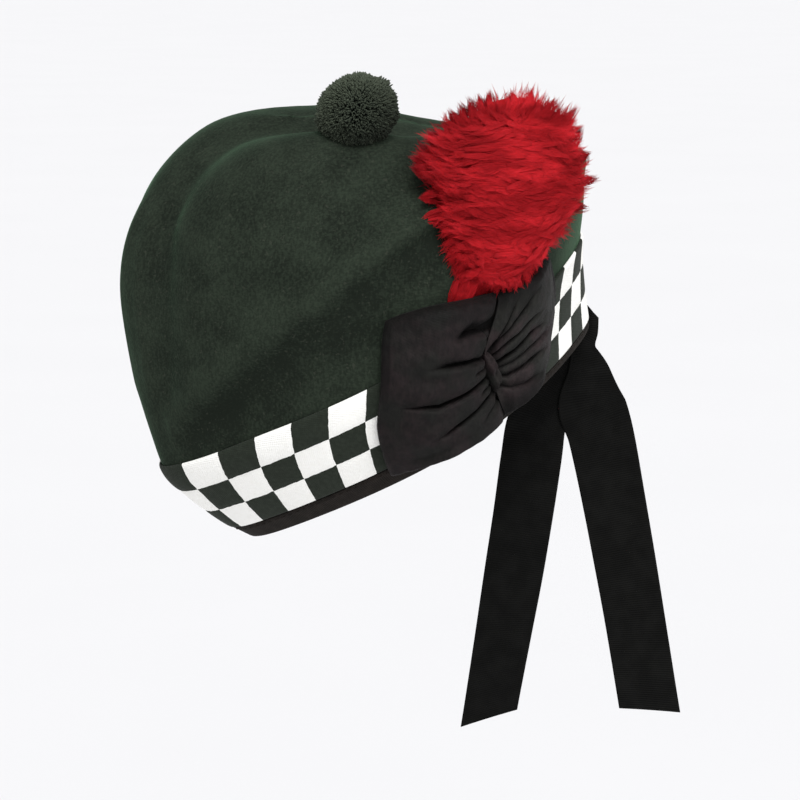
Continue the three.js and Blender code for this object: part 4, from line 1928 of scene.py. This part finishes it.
    def build_knot(self, material: bpy.types.Material) -> bpy.types.Object:
        """Builds the pleated wrap between the loops.

        Args:
            material: the silk.

        Returns:
            The knot.
        """
        angle, height = np.array([math.radians(self.knot_angle)]), np.array([self.knot_height])
        out, rise = FORM.normal(angle, height)[0], FORM.rise(angle, height)[0]
        centre = FORM.off(angle, height, np.array([self.lie + self.knot_lift]))[0]
        side = np.cross(rise, out)
        columns, rows = self.knot_columns, self.knot_rows
        around = np.linspace(0, TURN, columns + 1)
        turn, across = np.meshgrid(around, np.linspace(0, math.pi, rows), indexing="ij")
        pleat = np.cos(self.knot_pleats * 2.0 * across + self.knot_sway * np.sin(turn))
        round_off = np.sin(across) ** self.knot_rounding * (1.0 + self.knot_pleat * pleat)
        points = (
            centre
            - side * (self.knot_length * np.cos(across))[..., None]
            + rise * (self.knot_high * round_off * np.cos(turn))[..., None]
            + out * (self.knot_depth * round_off * np.sin(turn))[..., None]
        )
        crumple = self.knot_crumple
        points = points + out * (crumple.height * ripple(points, crumple.length, crumple.seed))[..., None]
        i, j = np.meshgrid(np.arange(columns), np.arange(rows - 1), indexing="ij")
        corner = [((i + a) % columns) * rows + j + b for a, b in ((0, 0), (1, 0), (1, 1), (0, 1))]
        faces = np.stack(corner, -1).reshape(-1, 4)
        plain = np.zeros(i.shape)
        uv = np.stack([np.stack([plain, (j + b) * self.knot_rib], -1) for b in (0, 0, 1, 1)], 2)
        piece = mesh_object("cockade_wrap", tip(points[:-1].reshape(-1, 3)), faces, uv.reshape(-1, 2))
        return dress(piece, Slot.SILK, material, "cockade_knot")


class Bulk(NamedTuple):
    """The plume at one height: how far it reaches to the front and to the back of its middle."""

    front: float
    back: float


PLUME = (
    Bulk(-19.0, 0.0),
    Bulk(-24.0, 13.0),
    Bulk(-29.0, 21.0),
    Bulk(-33.0, 30.0),
    Bulk(-37.0, 36.5),
    Bulk(-38.0, 40.0),
    Bulk(-39.5, 41.0),
    Bulk(-44.0, 42.0),
    Bulk(-41.0, 39.5),
    Bulk(-30.0, 34.0),
    Bulk(-10.0, 21.0),
)


class Tuft(NamedTuple):
    """A pointed lock at the plume's edge: its tip from the middle, and how far out that way its foot lies."""

    x: float
    y: float
    z: float
    foot: float


TUFTS = (
    Tuft(38.5, 0.0, 45.0, 0.70),
    Tuft(49.0, 0.0, 10.5, 0.72),
    Tuft(44.0, 0.0, -4.5, 0.74),
    Tuft(-45.0, -2.0, -8.0, 0.68),
    Tuft(-31.0, -8.0, -52.0, 0.70),
    Tuft(-26.0, -9.0, -52.0, 0.70),
    Tuft(-6.5, 0.0, 53.0, 0.80),
    Tuft(14.5, 0.0, 53.5, 0.78),
    Tuft(41.0, 0.0, 35.0, 0.78),
    Tuft(-38.0, 0.0, 35.5, 0.78),
    Tuft(-47.0, 0.0, 23.5, 0.76),
    Tuft(-46.5, 0.0, 18.5, 0.76),
    Tuft(-22.0, 0.0, 47.5, 0.74),
    Tuft(-18.0, 0.0, 50.0, 0.74),
    Tuft(-13.0, 0.0, 51.5, 0.76),
    Tuft(-27.5, 0.0, 44.0, 0.80),
    Tuft(44.5, 0.0, 22.0, 0.82),
    Tuft(4.0, 0.0, 52.0, 0.84),
    Tuft(27.0, 0.0, 48.0, 0.82),
    Tuft(-42.5, -2.0, 4.0, 0.80),
)


@dataclass
class Hackle:
    """The red feather plume tucked in behind the cockade, in the upright frame."""

    x: float = 11.2
    y: float = -84.0
    z: float = 118.5
    middle_rise: float = 2.0
    half_width: float = 41.0
    half_depth: float = 19.0
    half_height: float = 49.5
    pole: float = 0.0025
    core_share: float = 0.9
    locks: int = 3800
    tuft_locks: int = 16
    face_share: float = 2.2
    back_from: float = 0.25
    back_share: float = 0.4
    length: float = 19.0
    length_scale: float = 42.0
    length_range: Range = (0.75, 1.15)
    either_way: float = 0.6
    upsweep: float = 0.14
    waviness: float = 0.3
    sway_scale: float = 20.0
    sway_length: float = 14.0
    behind: float = 0.45
    ahead: float = 0.55
    depth_range: Range = (0.95, 0.985)
    lift: float = 0.012
    lift_range: Range = (-0.6, 1.0)
    flare: float = 0.075
    flare_from: float = 0.62
    flare_least: float = 0.01
    rooting: float = 0.18
    wave: float = 0.045
    root_width: float = 2.0
    root_shape: Triple = (1.0, 0.3, 1.0)
    tip_width: float = 0.8
    tip_shape: Triple = (1.0, 0.5, 1.0)
    tuft_root: float = 2.0
    tuft_tip: float = 0.7
    tone: float = 0.5
    tuft_tone: float = 0.4
    lock_tone: float = 0.08
    painted_low_light: float = 0.3
    girth: float = 0.25
    bow: float = 3.2
    roll: float = 0.4
    barb_sides: int = 3
    barb_stops: Range = (0.0, 0.5)
    barb_widths: Range = (0.8, 1.0)
    barb_flat: float = 0.2
    blades: tuple[Range, ...] = ((-6.4, 0.82), (-3.1, 0.95), (0.0, 1.0), (3.4, 0.9), (6.2, 0.78))
    clear: float = 1.2
    push: float = 12.0
    streak: float = 9.0
    painted_streak_shading: float = 0.3
    grain: Triple = (0.22, 0.5, 1.0)
    patch: float = 34.0
    patch_tone: float = 0.18
    patch_grain: Triple = (0.6, 0.6, 1.0)
    seed: int = 12
    finish: Feather = Feather()

    def place(self, ball_points: Array) -> Array:
        """Shapes points of a unit ball into the plume.

        Args:
            ball_points: places in a ball of radius 1.

        Returns:
            Places in millimetres in the upright frame.
        """
        radius = np.linalg.norm(ball_points, axis=-1, keepdims=True)
        x, y, z = np.moveaxis(unit(ball_points), -1, 0)
        front, back = table_curve(PLUME, (z + 1.0) / 2.0)
        side = x / np.sqrt(np.maximum(1.0 - z * z, self.pole))
        width = mix(front, back, (side + 1.0) / 2.0)
        face = np.stack([width, y * self.half_depth, z * self.half_height], -1)
        middle = np.array([self.x, self.y, self.z + self.middle_rise])
        locks = 1.0 + self.wave * ripple(face * self.grain, self.streak, self.seed)
        return middle + face * radius * locks[..., None]

    def combed(self, draw: np.random.Generator) -> tuple[Array, Array]:
        """Lays the locks sideways, close to the plume's face.

        Args:
            draw: the source of chance.

        Returns:
            The foot and the tip of each lock, in the unit ball.
        """
        out = unit(even_directions(self.locks) * np.array([1.0, self.face_share, 1.0]))
        kept = draw.uniform(0.0, 1.0, self.locks) < self.back_share
        out = out[(out[:, 1] < self.back_from) | kept]
        count = len(out)
        sway = self.waviness * ripple(out * self.sway_scale, self.sway_length, self.seed)
        backward = draw.uniform(0.0, 1.0, count) < smooth(out[:, 0], -self.either_way, self.either_way)
        lying = np.stack([np.where(backward, 1.0, -1.0), np.zeros(count), self.upsweep + sway], -1)
        off = np.hypot(out[:, 0], out[:, 2])[:, None]
        edge = smooth(off, self.flare_from, 1.0)
        flared = out * np.array([1.0, 0.0, 1.0]) / np.maximum(off, self.flare_least)
        comb = mix(lying, flared, edge) * (self.length / self.length_scale)
        comb = comb * draw.uniform(*self.length_range, count)[:, None]
        depth = draw.uniform(*self.depth_range, count)[:, None] - self.rooting * edge
        feet = unit(out - self.behind * comb) * depth
        chance = draw.uniform(*self.lift_range, count)[:, None]
        tips = unit(out + self.ahead * comb) * (1.0 + (self.lift + self.flare * edge) * chance)
        return feet, tips

    def tones(self, halfway: Array, chance: Array) -> Array:
        """Shades the locks with painted bands of light and shade in streaks, with patches of tone, and with
        painted light that makes them lighter towards the foot.

        Args:
            halfway: the middle of each lock.
            chance: what is added to each lock's shade.

        Returns:
            Shades from 0 to 1.
        """
        streaks = ripple(halfway * self.grain, self.streak, self.seed)
        patches = ripple(halfway * self.patch_grain, self.patch, self.seed + 1)
        low = (self.z - halfway[:, 2]) / self.half_height
        # Streaks are painted light and shade; the lower locks get painted light
        shade = self.tone + self.painted_streak_shading * streaks + self.patch_tone * patches + self.painted_low_light * low
        return np.clip(shade + chance, 0.0, 1.0)

    def build(self, seat: Seat, planting: Planting) -> bpy.types.Object:
        """Plants the feather strands in pointed locks.

        Args:
            seat: keeps the strands out of the felt.
            planting: the tree that plants strands on points.

        Returns:
            The plume.
        """
        draw = np.random.default_rng(self.seed)
        roots, tips = (self.place(part) for part in self.combed(draw))
        middle = np.array([self.x, self.y, self.z])
        points = np.array([tuft[:3] for tuft in TUFTS])
        foot = np.array([tuft.foot for tuft in TUFTS])[:, None]
        in_tuft = np.repeat([False, True], [len(roots), len(points) * self.tuft_locks])
        roots = np.concatenate([roots, np.repeat(middle + points * foot, self.tuft_locks, 0)])
        tips = np.concatenate([tips, np.repeat(middle + points, self.tuft_locks, 0)])
        foot_spread = np.where(in_tuft, self.tuft_root, self.root_width)[:, None] * self.root_shape
        end_spread = np.where(in_tuft, self.tuft_tip, self.tip_width)[:, None] * self.tip_shape
        feet = self.clear_of(seat, roots + draw.normal(0.0, 1.0, roots.shape) * foot_spread)
        ends = self.clear_of(seat, tips + draw.normal(0.0, 1.0, tips.shape) * end_spread)
        halfway = (feet + ends) / 2
        chance = draw.normal(0.0, 1.0, len(tips)) * np.where(in_tuft, self.tuft_tone, self.lock_tone)
        half_sizes = np.array([self.half_width, self.half_depth, self.half_height])
        faces = unit((halfway - middle) / half_sizes**2)
        base = root_points(feet * MM, (ends - feet) * MM, faces, self.tones(halfway, chance))
        barb = (self.barb_sides, self.barb_stops, self.barb_widths, self.barb_flat, self.bow, self.blades)
        core = np.full(3, self.core_share)
        material = self.finish.material()
        piece = planting.plant(
            "hackle_plume",
            base,
            Strand=strand("barb", *barb),
            # The core has no cloth numbers, so it takes mostly the feather's root colour: painted shade in
            # the gaps between locks
            Core=ball("core", np.zeros(3), core, lambda ball_points: self.place(ball_points) * MM),
            Finish=material,
            Girth=self.girth * MM,
            Roll=self.roll,
            Seed=self.seed,
        )
        return dress(piece, Slot.FEATHER, material, "hackle")

    def clear_of(self, seat: Seat, points: Array) -> Array:
        """Pushes points out of the felt.

        Args:
            seat: the felt.
            points: places in the upright frame.

        Returns:
            The places, each at least a little off the felt.
        """
        c, s = math.cos(FRONT_DIP), math.sin(FRONT_DIP)
        x, y, z = points.T
        level = np.stack([x * c + z * s, y, z * c - x * s], -1)
        over, normal = seat.clearance(level)
        level = level + normal * np.clip(self.clear - over, 0.0, self.push)[:, None]
        return tip(level) / MM


class Station(NamedTuple):
    """A ribbon at one place: its shift along the ribbons' plane, its drop below the seam and its width."""

    shift: float
    drop: float
    width: float


@dataclass(frozen=True)
class Tail:
    """One ribbon tail's sizes."""

    name: str
    node: str
    out: float
    cut: float
    sway: float
    flat: Range
    stations: tuple[Station, ...]


TAILS = (
    Tail(
        "ribbon_back",
        "ribbon_tail_back",
        out=0.68,
        cut=0.235,
        sway=3.0,
        flat=(0.031, 0.217),
        stations=(
            Station(6.3, 8, 7),
            Station(6.6, 18, 6),
            Station(3.0, 27, 12),
            Station(5.0, 40, 22.5),
            Station(6.5, 56, 34),
            Station(11.8, 73, 33.5),
            Station(19.3, 110, 32.2),
            Station(28.5, 160, 31.5),
            Station(38.0, 216, 32),
        ),
    ),
    Tail(
        "ribbon_front",
        "ribbon_tail_front",
        out=-0.68,
        cut=-0.47,
        sway=-3.5,
        flat=(0.030, 0.226),
        stations=(
            Station(6.6, 9, 6),
            Station(6.6, 20, 5),
            Station(-3.0, 32, 14),
            Station(-13.5, 47, 26),
            Station(-21.0, 65, 30),
            Station(-24.0, 84, 31),
            Station(-28.5, 116, 30.5),
            Station(-35.8, 163, 30),
            Station(-45.0, 220, 29.5),
        ),
    ),
)


@dataclass
class Ribbons:
    """The two ribbon tails that hang from the back seam."""

    plane: float = FACING
    seam_height: float = 0.1
    thickness: float = 0.8
    columns: int = 31
    rows: int = 240
    slope_step: float = 0.02
    cut_from: float = 0.8
    top_cut: float = 1.2
    top_to: float = 0.07
    hang: Range = (0.25, 0.75)
    sway_turns: float = 0.85
    sway_start: float = 0.1
    pleat: float = 0.45
    pleat_pitch: float = 7.0
    pleat_fade: Range = (0.1, 0.3)
    curl: float = 0.8
    finish: Grosgrain = Grosgrain()

    def build(self) -> list[bpy.types.Object]:
        """Builds and dresses both tails."""
        material = self.finish.material()
        return [self.build_tail(tail, material) for tail in TAILS]

    def build_tail(self, tail: Tail, material: bpy.types.Material) -> bpy.types.Object:
        """Builds one tail as a closed sheet.

        Args:
            tail: its sizes.
            material: the ribbon's material.

        Returns:
            The tail.
        """
        seam = tip(FORM.point(np.array(math.pi), np.array(self.seam_height))) / MM
        along = np.array([math.cos(self.plane), math.sin(self.plane), 0.0])
        towards = np.array([math.sin(self.plane), -math.cos(self.plane), 0.0])
        down = np.linspace(0.0, 1.0, self.rows)[None, :]
        side = np.linspace(-0.5, 0.5, self.columns)[:, None]
        shift, drop, width = table_curve(tail.stations, down)
        before = table_curve(tail.stations, down - self.slope_step)
        after = table_curve(tail.stations, down + self.slope_step)
        run_x, run_z = after[0] - before[0], after[1] - before[1]
        length = np.hypot(run_x, run_z)
        across = side * width
        slant = tail.cut * across * smooth(down, self.cut_from, 1.0)
        slant = slant + self.top_cut * across * (1.0 - smooth(down, 0.0, self.top_to))
        lateral = shift + run_z / length * across
        fall = run_x / length * across - drop - slant
        hang = smooth(down, *self.hang)
        sway = tail.sway * hang * np.sin(TURN * (self.sway_turns * down + self.sway_start))
        pleats = self.pleat * np.cos(TURN * lateral / self.pleat_pitch)
        pleats = pleats * (1.0 - smooth(down, *self.pleat_fade))
        offset = tail.out + pleats + (sway + self.curl * hang * (2.0 * side) ** 2)
        grid = seam + lateral[..., None] * along + offset[..., None] * towards
        grid = grid + fall[..., None] * np.array([0.0, 0.0, 1.0])
        outer, inner = both_faces(grid, self.thickness)
        edge = (0.5 - np.abs(side)) * width
        uv = np.stack(np.broadcast_arrays(edge, arc_length(grid[self.columns // 2])), -1)
        piece = Shell(outer * MM, inner * MM, uv).build(tail.name)
        dress(piece, Slot.RIBBON, material, tail.node)
        return piece


# Studio


class Lamp(NamedTuple):
    """A soft light: where it shines from, how wide it looks in degrees and its strength."""

    name: str
    toward: Triple
    spread: float
    strength: float


@dataclass
class Studio:
    """A pale floor, soft light and the camera."""

    azimuth: float = FACING
    elevation: float = math.radians(9.0)
    distance: float = 1.6
    lens: float = 144.0
    shift_x: float = -0.0244
    shift_y: float = 0.032
    floor_drop: float = 0.50
    floor_size: float = 120.0
    floor_dull: Colour = (0.768, 0.768, 0.783)
    floor_pale: Colour = (0.788, 0.788, 0.803)
    floor_cloud: float = 400.0
    sky: float = 0.48
    lamps: tuple[Lamp, ...] = (
        Lamp("key", (-0.05, -0.7, 1.0), 30.0, 2.65),
        Lamp("fill", (0.6, -1.0, 0.3), 60.0, 0.6),
    )

    def build(self) -> None:
        """Builds the floor, the lights and the camera."""
        self.build_floor()
        self.build_lights()
        self.build_camera()

    def build_floor(self) -> None:
        """Lays a plain pale floor below the ribbons."""
        half = self.floor_size / 2
        corners = np.array([[-half, -half], [half, -half], [half, half], [-half, half]])
        points = np.concatenate([corners, np.full((4, 1), -self.floor_drop)], 1)
        floor = mesh_object("floor", points, np.array([[0, 1, 2, 3]]))
        shader = Shader("pale_floor", {"Roughness": 0.9, "Specular IOR Level": 0.1})
        colour = shader.blend(shader.noise(self.floor_cloud), self.floor_dull, self.floor_pale)
        floor.data.materials.append(shader.finish(colour))

    def build_lights(self) -> None:
        """Hangs the soft lights and sets the sky."""
        for lamp in self.lamps:
            light = bpy.data.lights.new(lamp.name, "SUN")
            light.angle = math.radians(lamp.spread)
            light.energy = lamp.strength
            made = bpy.data.objects.new(lamp.name, light)
            made.rotation_euler = Vector(lamp.toward).to_track_quat("Z", "Y").to_euler()
            bpy.context.scene.collection.objects.link(made)
        world = bpy.data.worlds.new("studio")
        world.use_nodes = True
        sky = next(node for node in world.node_tree.nodes if node.type == "BACKGROUND")
        sky.inputs["Color"].default_value = (1.0, 1.0, 1.0, 1.0)
        sky.inputs["Strength"].default_value = self.sky
        bpy.context.scene.world = world
        bpy.context.scene.view_settings.view_transform = "Standard"

    def build_camera(self) -> None:
        """Sets the camera at the photograph's angle."""
        level = Vector((math.sin(self.azimuth), -math.cos(self.azimuth), 0.0)) * math.cos(self.elevation)
        back = level + Vector((0.0, 0.0, math.sin(self.elevation)))
        lens = bpy.data.cameras.new("camera")
        lens.lens = self.lens
        lens.shift_x = self.shift_x
        lens.shift_y = self.shift_y
        camera = bpy.data.objects.new("camera", lens)
        camera.location = back * self.distance
        camera.rotation_euler = (-back).to_track_quat("-Z", "Y").to_euler()
        bpy.context.scene.collection.objects.link(camera)
        bpy.context.scene.camera = camera


def main() -> None:
    """Builds every sub-assembly in order."""
    logging.basicConfig(level=logging.INFO, format="%(name)s: %(message)s")
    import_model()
    Studio().build()
    seat = Seat()
    planting = Planting("strands_on_points", along_path=False)
    Crown().build()
    Rim().build()
    Toorie().build(seat, planting)
    Cockade().build()
    Hackle().build(seat, planting)
    Ribbons().build()


if __name__ == "__main__":
    main()
